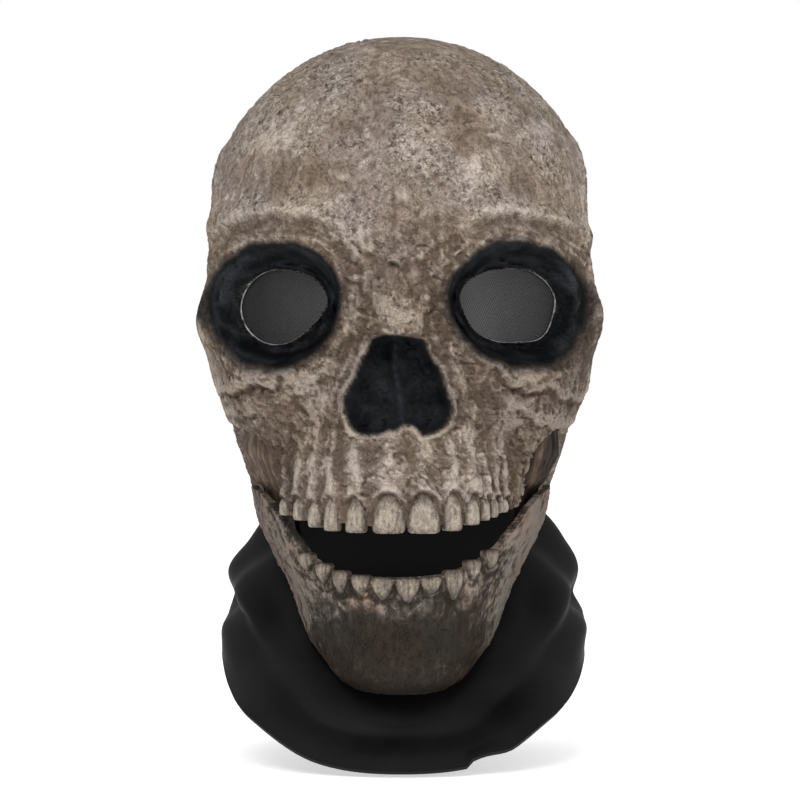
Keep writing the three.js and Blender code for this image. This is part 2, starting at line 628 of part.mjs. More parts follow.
const mask = new THREE.Group();
mask.name = 'skull_hood_mask';
mask.add(meshFrom(skullSolid(), 'skull_shell', COLOURS.bone));
mask.add(meshFrom(jawSolid(), 'jaw_shell', COLOURS.jaw));
mask.add(meshFrom(webSolid(1), 'cheek_web_left', COLOURS.web));
mask.add(meshFrom(webSolid(-1), 'cheek_web_right', COLOURS.web));
for (const socket of SOCKETS) {
  mask.add(meshFrom(gauzeSolid(socket), `eye_mesh_${socket.side}`, COLOURS.gauze));
}
const skirt = ringWall(skirtPoint, SKIRT_GRID, evenLevels(SKIRT_GRID.rows), SKIRT_WALL);
mask.add(meshFrom(solidFrom(skirt), 'neck_skirt', COLOURS.skirt));

export default mask;
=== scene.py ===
"""A full-head skull mask of moulded latex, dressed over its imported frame.

Sizes in the tables are millimetres in the frame's own axes: the face looks along -Y, +X is the
wearer's left, +Z is up and the origin is the inside of the crown. Meshes are written in metres.
"""
import math

import bmesh
import bpy
import numpy as np
from mathutils import Matrix, Vector, noise


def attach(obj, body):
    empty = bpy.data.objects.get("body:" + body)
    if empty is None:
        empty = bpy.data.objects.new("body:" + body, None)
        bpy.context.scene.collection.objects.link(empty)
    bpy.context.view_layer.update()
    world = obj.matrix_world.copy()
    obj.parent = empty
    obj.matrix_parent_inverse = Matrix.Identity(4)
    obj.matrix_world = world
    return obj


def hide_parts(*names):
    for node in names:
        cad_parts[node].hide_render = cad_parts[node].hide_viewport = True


MM = 0.001

# The camera stands level with the middle of the mask. Its frame is square.
CAMERA = {"distance": 1600.0, "height": -161.3, "across": -0.5, "frame": 364.0, "sensor": 36.0}

# Walls.
LINING_DEPTH = 4.2
JAW_WALL = 3.0
WEB_WALL = 2.0
SKIRT_WALL = 2.0

# Fineness of the meshes: columns go round, rows go down.
SKULL_MESH = {"columns": 290, "rows": 268, "dome_share": 0.36, "foot_share": 0.02, "crowding": 0.5}
LINING_MESH = {"columns": 84, "rows": 64, "dome_share": 0.36, "foot_share": 0.05, "crowding": 0.4}
JAW_MESH = {"columns": 240, "rows": 110, "crowding": 0.45}
WEB_MESH = {"columns": 50, "rows": 46}
SKIRT_MESH = {"columns": 200, "rows": 64}
TOOTH_CUTS = 11
ROW_POINTS = 721
STEP = 0.004
TINY = 1e-6
SEED_SHIFT = 17.31
VEIN_OCTAVES = 3
FIRST_DEGREE = -20.0
SHARP_ANGLE = 65.0
WHOLE_TURN = (-math.pi, math.pi)

# Marks on mesh points: painted by this script, or part of a plain body that cuts.
PAINTED = 1.0
UNPAINTED = 0.5

# The cranium is a dome above its widest level, and level sections below it.
DOME = {"z": -85.0, "height": 88.0, "half_width": 88.0, "front": 97.0, "back": 112.0, "power": 2.15}
DOME_FULLNESS = {"front": 0.9, "back": 0.8}
BACK_POWER = 2.1
FRONT_TURN = {"share": 0.5, "from_level": 0.5, "full_level": 0.95, "least_facing": 0.5}
SECTION_COLUMNS = ("z", "half_width", "front", "back", "power")
SKULL_SECTIONS = (
    (-85, 88, 97, 112, 2.15),
    (-105, 88, 98.5, 113, 2.4),
    (-125, 88, 97, 112, 2.5),
    (-150, 84, 95, 106, 2.45),
    (-176, 76, 96, 97, 2.3),
    (-204, 67.5, 99, 88, 2.2),
    (-228, 62, 100, 81, 2.2),
)

# Parts of the mask along one axis: a part begins at the first value and is full at the second.
ZONES = {
    "facing": ("y", -5, -35),
    "front": ("y", -30, -55),
    "below_brow": ("z", -78, -98),
    "below_eyes": ("z", -98, -122),
    "brow_outside": ("across", 84, 70),
    "brow_inside": ("across", 14, 36),
    "tooth_row": ("y", -30, -40),
    "tooth_width": ("across", 48, 40),
    "tooth_roots": ("z", -170, -182),
    "wedge_top": ("z", -111, -121),
    "wedge_foot": ("z", -134, -131),
    "left": ("x", -10, 10),
    "left_face": ("x", 8, 20),
    "left_cheek": ("x", 30, 45),
    "low_cheek": ("z", -138, -152),
    "temple": ("y", 35, -30),
    "behind": ("y", 25, 45),
    "crown": ("z", -62, -45),
    "chin_front": ("y", -20, -50),
    "jaw_facing": ("y", -5, -30),
    "jaw_rim": ("y", -60, -80),
    "jaw_beside": ("y", -72, -45),
    "jaw_aside": ("across", 30, 44),
    "jaw_row": ("across", 56, 46),
    "jaw_upper": ("z", -275, -245),
    "jaw_chin": ("z", -250, -264),
}

# Eye sockets: the rim, the flat sloping floor and the opening in the floor.
SOCKETS = (
    {
        "side": "right", "x": -55.2, "z": -120.5, "half_width": 28.4, "half_height": 28.4,
        "floor_y": -63.0, "slope": 0.34, "eye_x": -51.0, "eye_z": -120.7,
        "eye_half_width": 19.2, "eye_half_height": 15.7,
    },
    {
        "side": "left", "x": 50.5, "z": -118.0, "half_width": 31.0, "half_height": 29.0,
        "floor_y": -65.0, "slope": -0.32, "eye_x": 46.5, "eye_z": -119.8,
        "eye_half_width": 20.7, "eye_half_height": 16.2,
    },
)
SOCKET_MARGIN = 3.5
LEAST_SINK = -1.5
LEAST_SLANT = -0.2

# The rims are modelled one by one: how far they stray from a round outline, by angle.
RIM_COLUMNS = ("angle", "share")
RIM_OUTLINES = {
    "right": (
        (-20, 0.99), (5, 1.03), (30, 1.07), (60, 1.04), (85, 0.98), (130, 1.05), (155, 1.08), (185, 0.99),
        (225, 0.96), (275, 0.95), (315, 0.97), (340, 0.99),
    ),
    "left": (
        (-20, 0.985), (19, 1.0), (35, 0.965), (56, 0.91), (84, 0.885), (106, 0.94), (135, 0.91), (173, 0.99),
        (214, 0.93), (245, 0.96), (276, 0.985), (308, 1.06), (340, 0.985),
    ),
}

# The openings are cut by hand: how far their edge lies from the middle, by angle.
OUTLINE_COLUMNS = ("angle", "reach")
EYE_OUTLINES = {
    "right": (
        (-35, 14.4), (-12, 16.4), (8, 19.2), (77, 16.2), (130, 17.8), (187, 19.2),
        (243, 17.7), (275, 15.8), (300, 14.4), (325, 14.4), (348, 16.4), (368, 19.2),
    ),
    "left": (
        (-43, 20.6), (-15, 20.4), (11, 21.0), (50, 18.2), (90, 15.7), (128, 17.6), (164, 21.2),
        (190, 19.4), (217, 18.3), (250, 16.8), (284, 16.7), (317, 20.6), (345, 20.4), (371, 21.0),
    ),
}
SOCKET_RIM = {"height": 2.2, "at": 1.14, "spread": 0.13}
BROW = {"height": 4.5, "at": 1.5, "spread": 0.2, "from_rise": 0.1, "to_rise": 0.8}
GLABELLA = {"z": -92, "half_width": 16, "half_height": 13, "height": 3.5}

# The nose: a bony bridge above an opening of two lobes, divided by a septum.
BRIDGE = {
    "top_z": -98, "full_z": -126, "end_z": -132, "drop_z": -135, "height": 5, "half_width": 16,
    "ridge": 6.5, "ridge_top": 6.5, "ridge_foot": 10.5,
}
NOSE_COLUMNS = ("z", "half_width")
NOSE_SIDES = ((-131, 10.2), (-140, 14), (-150, 18.6), (-158, 22), (-166, 23.8))
NOSE = {
    "x": -1.6, "top_z": -132.6, "top_arch": 0.02, "lobe_x": 11.2, "lobe_z": -164.6, "lobe_radius": 12.6,
    "middle_z": -160, "middle_radius": 15, "notch_x": 2.6, "notch_z": -179, "notch_radius": 6.4,
    "uneven": 0.7, "floor_y": -80, "edge": 4, "septum": 5, "septum_half_width": 2.4, "septum_bend": 1.6,
    "bend_length": 7.0, "wave_z": 2.9, "wave_x": 4.3,
}

# Cheekbones, the arch behind them, the hollow beside the teeth, the temples and the gum.
CHEEKBONE = {"x": 63, "z": -158, "half_width": 20, "half_height": 15, "height": 4.5}
ARCH = {"z": -124, "half_height": 13, "height": 5.6, "from_y": -58, "full_y": -38, "fade_y": 10, "end_y": 40}
CHEEK_HOLLOW = {"x": 40, "z": -176, "half_width": 12, "half_height": 13, "depth": 3.5}
TEMPLES = (
    {"side": -1, "y": 20, "z": -103, "half_length": 60, "half_height": 58, "depth": 4.4},
    {"side": 1, "y": 13, "z": -103, "half_length": 58, "half_height": 61, "depth": 5.0},
)
TEMPLE_LINE = {"height": 1.5, "spread": 0.07, "slope": 0.2}
GUM = {"top_z": -178, "full_z": -194, "height": 5, "fade_x": 36, "end_x": 58}

# The skull's lower edge and the jaw's outline, from the side, as y and z.
SKULL_EDGE = (
    (-140, -225), (-106, -216), (-68, -206.5), (-66, -182), (-58, -175), (-25, -171), (4, -170),
    (6, -196), (22, -210), (45, -207), (140, -207), (140, -260), (-140, -260),
)
JAW_EDGE = (
    (-140, -248), (-106, -236.9), (-92, -232.4), (-80, -226.8), (-66, -215), (-56, -207), (-40, -202),
    (1, -199.5), (2, -222), (-8, -231), (-70, -284), (-74, -300), (-140, -300),
)

# How the side outlines are rounded, how far they reach across, and the bodies that cut the eye openings.
OUTLINE_ROUND = {"radius": 7.0, "segments": 6}
SIDE_REACH = 130.0
EYE_CUTTER = {"segments": 96, "depth": 14.0}

# Teeth: place across the arch, width along it, the biting end and the root end.
TOOTH_COLUMNS = ("x", "width", "tip_z", "root_z")
UPPER_TEETH = (
    (-51, 7.2, -211.5, -203),
    (-44.2, 8.2, -213.2, -202.4),
    (-37.3, 7.2, -216, -203.6),
    (-30.1, 7.2, -217.4, -202.4),
    (-19.6, 9.2, -218, -203),
    (-5.3, 14.2, -218.2, -201.4),
    (9.8, 14.2, -218.2, -201.4),
    (22.2, 8.6, -217.2, -200.4),
    (30.6, 7.2, -214.8, -201.5),
    (36.2, 4.8, -213, -202),
    (40, 4.4, -211.8, -202.4),
    (44.2, 6.6, -209.8, -202.8),
)
LOWER_TEETH = (
    (-41, 11, -227.5, -235.5),
    (-33.6, 10.4, -231.5, -240.5),
    (-26, 9.6, -234.4, -244.6),
    (-17.3, 9.8, -236, -245),
    (-8.1, 10.6, -237, -246.8),
    (2.7, 11.4, -237.2, -248),
    (12.6, 10.2, -236.8, -244.8),
    (22.5, 10.8, -234, -247),
    (31, 9.6, -230, -239),
    (38.8, 10.4, -226, -234.5),
)

# The jaw stands open.
JAW_SECTIONS = (
    (-194, 68.5, 98, 60, 2.2),
    (-214, 65, 100.5, 60, 2.2),
    (-230, 57.8, 102, 56, 2.2),
    (-244, 51.2, 100.5, 50, 2.2),
    (-258, 47.2, 98.5, 46, 2.2),
    (-267, 45, 98, 44, 2.2),
    (-276, 39.5, 97.5, 40, 2.2),
    (-283, 35, 95.5, 36, 2.2),
    (-287.5, 28, 90, 30, 2.1),
)
RIM_SAG = {
    "middle": 2.4, "right": 3.0, "right_x": -37, "half_width": 18, "foot_z": -250, "top_z": -234,
    "narrowing": 0.011,
}
CHIN = {"z": -277, "half_width": 19, "half_height": 8, "height": 3.5}

# Cheek webs: tucked inside the skull wall above, flush between, tucked inside the jaw below.
WEB_SECTIONS = (
    (-162, 72.2, 85, 86, 2.3),
    (-170, 71, 86, 85, 2.3),
    (-177, 71.2, 86.5, 84, 2.3),
    (-184, 71.4, 87, 83, 2.3),
    (-191, 69, 87, 82, 2.25),
    (-197, 66, 87, 80, 2.2),
    (-202, 61.6, 88, 78, 2.2),
    (-214, 59, 90, 76, 2.2),
    (-224, 54.6, 92, 72, 2.2),
)
WEB = {"top_z": -163, "bottom_z": -216, "from_angle": 43, "to_angle": 99}
WEB_STRAND = ((65, -174), (61, -186), (57.5, -198))
WEB_PAINT = {"strand": 1.1, "half_width": 1.8, "left": -0.55, "right": 0.45}
WEB_RELIEF = {"height": 0.9, "noise": (3.4, 3, 31, (1.0, 1.0, 9.0))}
WEB_TUCK = {"from_angle": 76, "to_angle": 91, "depth": 5}

# The neck skirt at angles from the front: its hidden top, where it comes clear, and its hem.
SKIRT_COLUMNS = ("angle", "top_radius", "top_z", "clear_radius", "clear_z", "hem_radius", "hem_z")
SKIRT_EDGES = (
    (-22, 60, -271, 61, -284, 99, -317),
    (0, 66, -279, 68, -291, 101, -321),
    (22, 60, -271, 61, -284, 99, -317),
    (42, 52, -255, 53.5, -268, 96, -301),
    (63, 46, -236, 47.5, -249, 88, -289),
    (88, 47, -214, 48.5, -229, 84, -275),
    (100, 50, -204, 50.5, -223, 84, -273),
    (112, 61, -196, 62.5, -212, 84, -272.5),
    (140, 71, -194, 72.5, -209, 89, -283),
    (180, 80.5, -194, 81.5, -209, 97, -302),
    (220, 71, -194, 72.5, -209, 89, -283),
)
FOLD_COLUMNS = ("share", "side", "front")
SKIRT_FOLDS = (
    (0, 0, 0),
    (0.22, 5.5, 2.5),
    (0.42, 8, 2),
    (0.62, 2, -1.5),
    (0.8, 4.5, 1),
    (1, 0, 0),
)
SKIRT_TUCK = 0.22
SKIRT_STEP = {
    "rise": 3, "from_angle": 16.5, "full_angle": 18.5, "fade_angle": 21, "end_angle": 30, "from_share": 0.8,
}

# The skirt hangs unevenly: how far it is widened or drawn in to the wearer's right and left.
HANG_COLUMNS = ("z", "right", "left")
SKIRT_HANG = (
    (-208, 1, 1),
    (-216, 1, 1.08),
    (-228, 1.005, 1.085),
    (-241, 1.055, 1.08),
    (-252, 1.025, 1.065),
    (-259, 0.988, 1.045),
    (-264, 0.98, 1.02),
    (-271, 0.955, 0.98),
    (-280, 0.94, 0.963),
    (-290, 0.962, 0.975),
    (-300, 1.005, 1),
    (-312, 1.005, 1.01),
    (-322, 0.98, 1.01),
)
SKIRT_FRONT = {"full_angle": 30, "end_angle": 75}

# Hollows in the skirt, as places across and up it, and the painted shade in them.
HOLLOW_SHADE = -0.25
HOLLOW_LIMIT = -0.3
SKIRT_HOLLOWS = (
    (-60, -258, 11, 13, 5),
    (61, -253, 11, 13, 5),
    (43, -295, 15, 10, 4),
    (0, -304, 22, 6, 3),
)

# Low relief on the face: ridges, grooves, cracks and striations.
BROW_CREST = {"height": 1.1, "at": 1.48, "spread": 0.08, "waver": 0.05}
BROW_GROOVE = {"depth": 1.2, "at": 1.3, "spread": 0.08}
BROW_LINE = {
    "x": -3.4, "top_z": -70, "bottom_z": -98, "depth": 1.0, "half_width": 0.9, "waver": 1.2, "fade": 4.0,
}
NOSE_RIM = {"at": -1.0, "spread": 0.9, "below_z": -138, "fade": 3.0}
STROKE = {
    "width": 1.9, "stretch": 7.0, "shift": 30.0, "nose_far": 23, "nose_near": 11, "nose_edge": 1.5,
    "rim_far": 1.43, "rim_near": 1.15, "octaves": 3, "seed": 15,
}
ROOT_RIDGE = {
    "height": 1.9, "share": 0.36, "from_z": -172, "full_z": -186, "hollow": 0.9, "drift": 1.6, "waver": 4.0,
}
GUM_EDGE = {
    "level_z": -205, "fall": 5, "rise": 1.0, "set_back": 1.3, "collar": 0.9, "collar_at": 1.4,
    "collar_spread": 1.1, "collar_pale": 1.2, "above": 0.4, "below": 1.2, "row_full": 5.0, "row_end": 10.0,
}
CRACK = {
    "half_width": 1.1, "fade": 10.0, "waver": 2.0, "noise_x": (6.0, 3, 5), "noise_z": (6.0, 3, 6),
    "lip": 0.6, "lip_at": 2.6, "lip_spread": 1.8,
}
CRACK_COLUMNS = ("groove", "ledge", "path")
CRACKS = (
    (1.5, 1.4, ((-80, -158.5), (-66.8, -157.7), (-61.2, -154.9), (-54, -157), (-49.6, -151.5))),
    (1.5, 1.4, ((40, -148.5), (44.5, -155.7), (53, -158.3), (61.6, -157), (69, -161.3), (80, -162.6))),
    (0.9, 1.6, ((50, -166), (57, -171), (64, -174), (74, -175))),
    (0.9, 0.7, ((-76, -168), (-68, -170), (-62, -168.5))),
    (1.1, 0.0, ((-27, -106), (-18, -112), (-12, -122), (-10, -131))),
    (1.1, 0.0, ((25, -109), (16, -115), (12, -124), (10.5, -131))),
    (0.9, 0.5, ((-22, -93), (-14, -99), (-6, -104), (2, -105))),
    (0.9, 0.5, ((24, -91), (15, -97), (8, -103), (2, -105))),
    (0.8, 0.6, ((-46, -162), (-42, -167), (-38, -172))),
    (0.8, 0.0, ((38, -148), (36, -156), (41, -162))),
)

# Uneven noise on the skull as size, octaves and seed, and winding ridges as size, width and seed.
SKULL_NOISE = {
    "waver": (9.0, 3, 1), "patch": (26.0, 3, 2), "crumb": (3.4, 4, 3), "pits": (2.8, 3, 8),
    "crust": (8.5, 4, 9),
}
SKULL_VEINS = {"creases": (7.0, 0.12, 7), "furrows": (11.0, 0.06, 12), "curls": (6.0, 0.1, 13)}
SKULL_SPECK = {
    "below_eyes": 0.4, "by_socket": 0.4, "rim_far": 1.55, "rim_near": 1.25,
    "bare": 0.2, "low": -0.35, "high": 0.15,
}
PIT_LIMITS = (0.16, 0.5)
CURL_REST = 0.25

# How much each layer adds to the skull's relief, in millimetres, and to its paints, by part of the face.
SKIN = {"all": {"crumb": 0.5, "pits": -0.75, "creases": 0.45}}
SKULL_RELIEF = {
    "all": {"skin": 1.0, "back": 1.0},
    "facing": {"brow": 1.0},
    "front_face": {"curls": 0.8, "furrows": -1.1},
    "face": {"cracks": 1.0, "gum": 1.0, "nose_rim": 1.3, "strokes": 0.6},
    "front_middle": {"crusted": 0.6},
}
SKULL_CRUST = {
    "all": {
        "plain": -1.45, "crust": 1.2, "roots": 0.65, "lips": 1.0, "nose_rim": 1.0, "rims": 0.2, "brow_shade": -0.6,
        "below_gum": -2.0,
    },
    "facing": {"patches": 0.8},
    "middle": {"plain": 1.5},
}
SKULL_PALE = {
    "all": {"patch": 0.3, "below_gum": -0.5, "sunk": -0.4, "line": 0.5, "wedge": 0.2, "seams": -1.4},
    "facing": {"patches": 1.0, "brow_shade": -0.5},
    "face": {"curls": 0.35, "furrows": -0.9, "lips": 0.6, "nose_rim": 0.9, "strokes": 1.3},
    "middle": {"crusty": 0.3},
}
# The shade layer darkens the bone towards the shade tint: painted shade under the brows, and darker over the
# front of the face below the brow and on the wearer's left cheek.
SKULL_SHADE = {
    "front": {"brow_shade": 0.25},
    "front_face": {"plain": 0.36},
    "front_middle": {"plain": 0.54},
    "face": {"left_face": 0.12},
    "middle": {"left_cheek": 0.5},
}
SHADE_EASE = {"wedge": 0.4, "roots": 0.9}
CRUSTED_LIMITS = (0.1, 0.9)
CRUSTY_LIMITS = (-0.8, 1.0)
LIFT = {"skull": 1.3, "jaw": 1.2, "most": 1.2}
WEDGE_EDGE = {"outside": 1.5, "inside": 1.0}
# The nose opening: the ragged edge of its black paint, and painted highlights on the black along its folds
# and its septum.
NOSE_PAINT = {
    "edge": 1.1, "ragged": 0.3, "painted_highlight": 0.5, "waver": 0.35, "septum": 0.3, "septum_half_width": 3.0,
}
BLACK_EDGE = {"calm": 0.7, "relief": (0.3, 0.9), "painted_highlight": (0.4, 0.9)}

# The back of the head: seams between the bones, seen from behind and from above, and a low ridge.
SEAM = {"depth": 0.9, "half_width": 0.8, "waver": 3.0, "noise": (5.0, 2, 14)}
BACK_SEAM = ((-70, -128), (-46, -98), (-24, -70), (0, -50), (24, -70), (46, -98), (70, -128))
CROWN_SEAMS = (
    ((0, 18), (0, 84)),
    ((-66, 26), (-34, 18), (0, 18), (34, 18), (66, 26)),
)
NECK_RIDGE = {"z": -160, "half_width": 52, "half_height": 9, "height": 3, "sag": 0.004}

# Patches on the face where the bone is paler or browner than the rest: partly the paint's own tone, partly
# painted shade, as at the nose root and beside it, and painted light, as on the sides of the forehead.
PATCH_COLUMNS = ("x", "z", "half_width", "half_height", "amount")
FACE_TONE_AND_SHADING = (
    (-42, -28.6, 14, 12, 0.45),
    (-23, -42.7, 8, 6, -0.7),
    (-10, -38, 6, 16, -0.6),
    (-49.6, -65, 20, 10, -0.85),
    (-56, -47.9, 12, 7, 0.4),
    (-35.5, -75.7, 12, 6, 0.5),
    (26, -42.7, 6, 14, -0.75),
    (42, -37, 9, 8, 0.5),
    (52, -57.7, 14, 12, -0.15),
    (49, -70, 10, 7, -0.8),
    (32.5, -62, 9, 9, 0.5),
    (22, -21, 8, 8, -0.5),
    (54, -34, 9, 5, -0.5),
    (12, -56, 9, 12, 0.35),
    (-16.7, -90.7, 6, 5, 0.35),
    (17, -88.5, 8, 8, -0.7),
    (0, -106, 10, 9, -0.6),
    (0.4, -126, 8, 5, 0.3),
    (-15, -118, 5, 14, -0.25),
    (15, -118, 5, 14, -0.2),
    (74, -95, 8, 6, 0.7),
    (-64, -95, 12, 5, 0.5),
    (-62, -36, 11, 26, 0.4),
    (64, -36, 11, 26, 0.4),
    (-45, -152.3, 10, 5, 0.9),
    (-45, -162, 3, 5, -0.9),
    (-54, -166.4, 6, 6, -0.7),
    (-52, -187, 11, 13, -0.8),
    (-42.4, -188, 2.2, 12, 0.7),
    (-30.4, -167.7, 4.5, 10, -0.9),
    (-36.8, -168, 2.4, 10, 0.8),
    (52, -150, 9, 2.5, 0.9),
    (57, -154.5, 12, 3.5, -0.8),
    (60, -164.6, 9, 4, -0.8),
    (63, -171, 12, 3, 1.0),
    (35.4, -162, 5, 6, -0.8),
    (48, -166.5, 7, 5, 0.5),
    (42.4, -163.4, 2, 2, -1.2),
    (25.7, -166, 5, 11, -0.7),
    (30.4, -167.7, 1.7, 8, 0.8),
    (50, -181, 5, 10, -0.7),
    (44, -184, 2.5, 10, 0.7),
    (80, -136, 8, 20, -0.9),
    (-80, -140, 6, 20, -0.25),
    (-7.3, -195, 6, 6, 0.3),
    (-9, -183, 8, 5, -0.9),
    (-8, -121, 4, 10, 0.6),
    (17, -150, 5, 10, -0.5),
)
# Black paint in the sockets, painted shade above them under the brows and a pale rim below them.
SOCKET_PAINT = {
    "solid_top": 0.94, "faint_top": 1.07, "solid_foot": 0.95, "faint_foot": 1.2, "waver": 0.04,
    "brow_shade_at": 1.12, "brow_shade_spread": 0.09, "rim_at": 1.22, "rim_spread": 0.05, "upper": (-0.1, 0.6),
    "inside": (1.0, 0.9),
}
SOCKET_FOLD = {"height": 1.7, "at": 1.2, "spread": 0.08, "ripple": 1.3, "waver": 0.06, "limits": (-0.4, 0.5)}
# Painted highlights on the black inside the sockets: a little everywhere, more on the folds and ripples and
# in the upper part.
SOCKET_HIGHLIGHT = {"plain": 0.2, "fold": 0.4, "ripple": 0.6, "least_ripple": -0.3, "upper": 0.25}
DARK_PATCH_COLUMNS = ("side", "y", "z", "half_length", "half_height", "share")
ARCH_DARK_PATCHES = ((-1, -42, -121, 11, 9, 0.9), (1, -38, -134, 15, 19, 0.4))
DARK_PATCH_EDGE = {"limits": (0.15, 0.8), "waver": 0.2, "from_x": 60.0}
# Painted shade in the temple hollows, deepest on the wearer's left, where it turns partly black, and the pale
# paint along the temple line.
TEMPLE_SHADE_AND_LINE = {
    "edge": (1.02, 0.94), "inner": 0.3, "inner_limits": (0.45, 0.95), "line_at": 1.06, "line_spread": 0.04,
    "right_shade": 0.6, "left_shade": 1.1, "left_black_shade": 0.35,
}

# The jaw: pale teeth roots and side edges, brown chin.
JAW_PATCHES = (
    (-60, -222, 14, 18, 0.6),
    (60, -222, 14, 18, 1.1),
    (-48, -250, 8, 20, 0.4),
    (48, -250, 8, 20, 0.5),
    (0, -262, 30, 14, -0.5),
    (0, -284, 26, 7, -0.35),
    (22, -254, 10, 8, -0.3),
    (-20, -256, 12, 8, -0.25),
)
JAW_FIBRES = {"noise": (2.6, 4, 21), "side_noise": (2.6, 4, 24), "stretch": 7.0, "lean": 40}
JAW_NOISE = {"crumb": (3.6, 4, 22), "patch": (22.0, 3, 23)}
JAW_ROOTS = {
    "level_z": -238, "share": 0.7, "below": 3.0, "half_height": 5.0, "edge_at": 1.1, "edge_spread": 0.25,
}
JAW_BAND = {"from_z": -274, "full_z": -240, "waver": 5.0}
JAW_RELIEF = {"all": {"crumb": 0.3}, "upper": {"fibres": 0.7}, "facing": {"roots": 0.5, "edges": -0.6}}
JAW_PALE = {
    "all": {"plain": -0.3, "patch": 0.3},
    "facing": {"patches": 1.0, "band": 0.4, "edges": -0.5},
    "upper": {"plain": 0.15, "fibres": 0.3},
    "upper_aside": {"fibres": 0.6},
    "beside": {"plain": 0.7},
}
JAW_SPECK = {"front": 0.3, "chin": 0.8, "aside": 0.5, "beside": 0.3}
JAW_SHADE = {"beside": 0.7, "chin": 0.45}
JAW_CRUST = -1.0

# The net behind the openings, and the thin cut edge round them.
NET = {"pitch": 0.72, "wire": 0.46, "turn": 20, "set_back": 1.6, "overlap": 0.5}
CUT_EDGE = {
    "radius": 0.3, "points": 120, "behind": -0.1, "noise": (7.0, 3, 41), "plain": 0.25, "outer": 0.7,
    "upper": -0.3, "uneven": 0.6, "thinnest": 0.06, "thickest": 1.2, "round_steps": 2,
}

# Paints as linear colours: the brown coat, the pale dry brush over it and the dark pits.
BONE_COLOURS = {
    "coat_dark": (0.118, 0.090, 0.071),
    "coat": (0.205, 0.166, 0.139),
    "dry_dark": (0.300, 0.255, 0.220),
    "dry": (0.470, 0.415, 0.368),
    "crust": (0.315, 0.268, 0.228),
    "pit": (0.050, 0.036, 0.028),
    "warm": (1.04, 1.0, 0.92),
    "cool": (0.99, 0.97, 0.98),
}
JAW_COLOURS = {
    "coat_dark": (0.025, 0.0215, 0.018),
    "coat": (0.034, 0.0292, 0.0243),
    "dry_dark": (0.084, 0.071, 0.060),
    "dry": (0.240, 0.208, 0.178),
    "crust": (0.200, 0.172, 0.146),
    "pit": (0.014, 0.011, 0.009),
    "warm": (1.10, 0.94, 0.88),
    "cool": (0.97, 0.99, 0.98),
}
# The tint that the shade layer multiplies in: painted shade under the brows and in the temple hollows, and
# darker bone elsewhere on the face and the jaw.
SHADE_TINT = (0.62, 0.597, 0.58)
BLACK_PAINT = (0.0034, 0.0036, 0.0042)
# The lightest black: the colour of painted highlights on the black paint.
BLACK_HIGHLIGHT = (0.026, 0.028, 0.032)
GRAIN_RAMP = ((0.3, (0.78, 0.78, 0.78)), (0.7, (1.22, 1.22, 1.22)))
# The nearly black inside of the shell: painted shade that keeps the openings dark.
LINING_RAMP = ((0.3, (0.006, 0.006, 0.006)), (0.7, (0.016, 0.014, 0.012)))
MUSCLE_RAMP = (
    (0.15, (0.010, 0.010, 0.008)),
    (0.4, (0.040, 0.025, 0.017)),
    (0.7, (0.080, 0.053, 0.037)),
    (1.0, (0.200, 0.160, 0.125)),
)
# The net's grey, paler towards the nose and darker outwards as painted shade.
NET_RAMP = ((0.0, (0.200, 0.201, 0.202)), (0.35, (0.118, 0.118, 0.119)), (1.0, (0.044, 0.044, 0.045)))
NET_SHADE = {"middle_x": 3.5, "pale_at": 28.0, "dark_at": 66.0}
CUT_RAMP = ((0.38, (0.05, 0.05, 0.05)), (0.66, (0.32, 0.31, 0.30)))
SKIRT_RAMP = (
    (0.0, (0.0009, 0.0009, 0.0010)),
    (0.6, (0.0050, 0.0050, 0.0052)),
    (1.0, (0.0095, 0.0095, 0.0098)),
)
TOOTH_RAMP = (
    (0.0, (0.034, 0.024, 0.017)),
    (0.35, (0.118, 0.092, 0.069)),
    (0.6, (0.225, 0.186, 0.146)),
    (1.0, (0.390, 0.332, 0.266)),
)
PAINT_LAYERS = ("lift", "pale", "black", "speck", "crust", "shade")

# Noise in the paints: size in millimetres, detail, roughness, how tall it is drawn and how twisted.
NOISE_COLUMNS = ("size", "detail", "roughness", "tall", "twist")
PAINT_NOISE = {
    "patch": (16, 4, 0.55, 1, 0),
    "tint": (30, 3, 0.5, 1, 0),
    "flecks": (3.8, 8, 0.68, 1, 0.9),
    "fine": (1.5, 5, 0.62, 1, 0.6),
    "marble": (9, 7, 0.55, 1, 2),
    "grain": (0.55, 2, 0.6, 1, 0),
    "winding": (5, 5, 0.6, 1, 1.2),
    "streaks": (1.4, 5, 0.7, 6, 0.5),
    "stains": (3.4, 5, 0.65, 1.6, 1),
    "tooth_speck": (0.9, 4, 0.65, 1, 0),
    "lining_blotch": (14, 4, 0.6, 1, 0),
    "strands": (3.4, 5, 0.6, 9, 0),
    "web_blotch": (7, 4, 0.6, 1, 0),
    "cut_speck": (4, 3, 0.6, 1, 0),
    "skirt_blotch": (30, 4, 0.6, 1, 0),
    "skirt_speck": (1.1, 3, 0.6, 1, 0),
}

# The finish of each paint as roughness and specular, and its bumps as depth and strength.
FINISHES = {
    "bone": (0.7, 0.05), "tooth": (0.45, 0.4), "lining": (0.7, 0.1), "muscle": (0.7, 0.05), "net": (0.8, 0.1),
    "cut": (0.6, 0.3), "skirt": (0.5, 0.1), "floor": (0.9, 0.2),
}
BUMPS = {"bone": (0.9, 0.75), "tooth": (0.6, 0.4), "muscle": (1.5, 0.5), "skirt": (0.3, 0.3)}

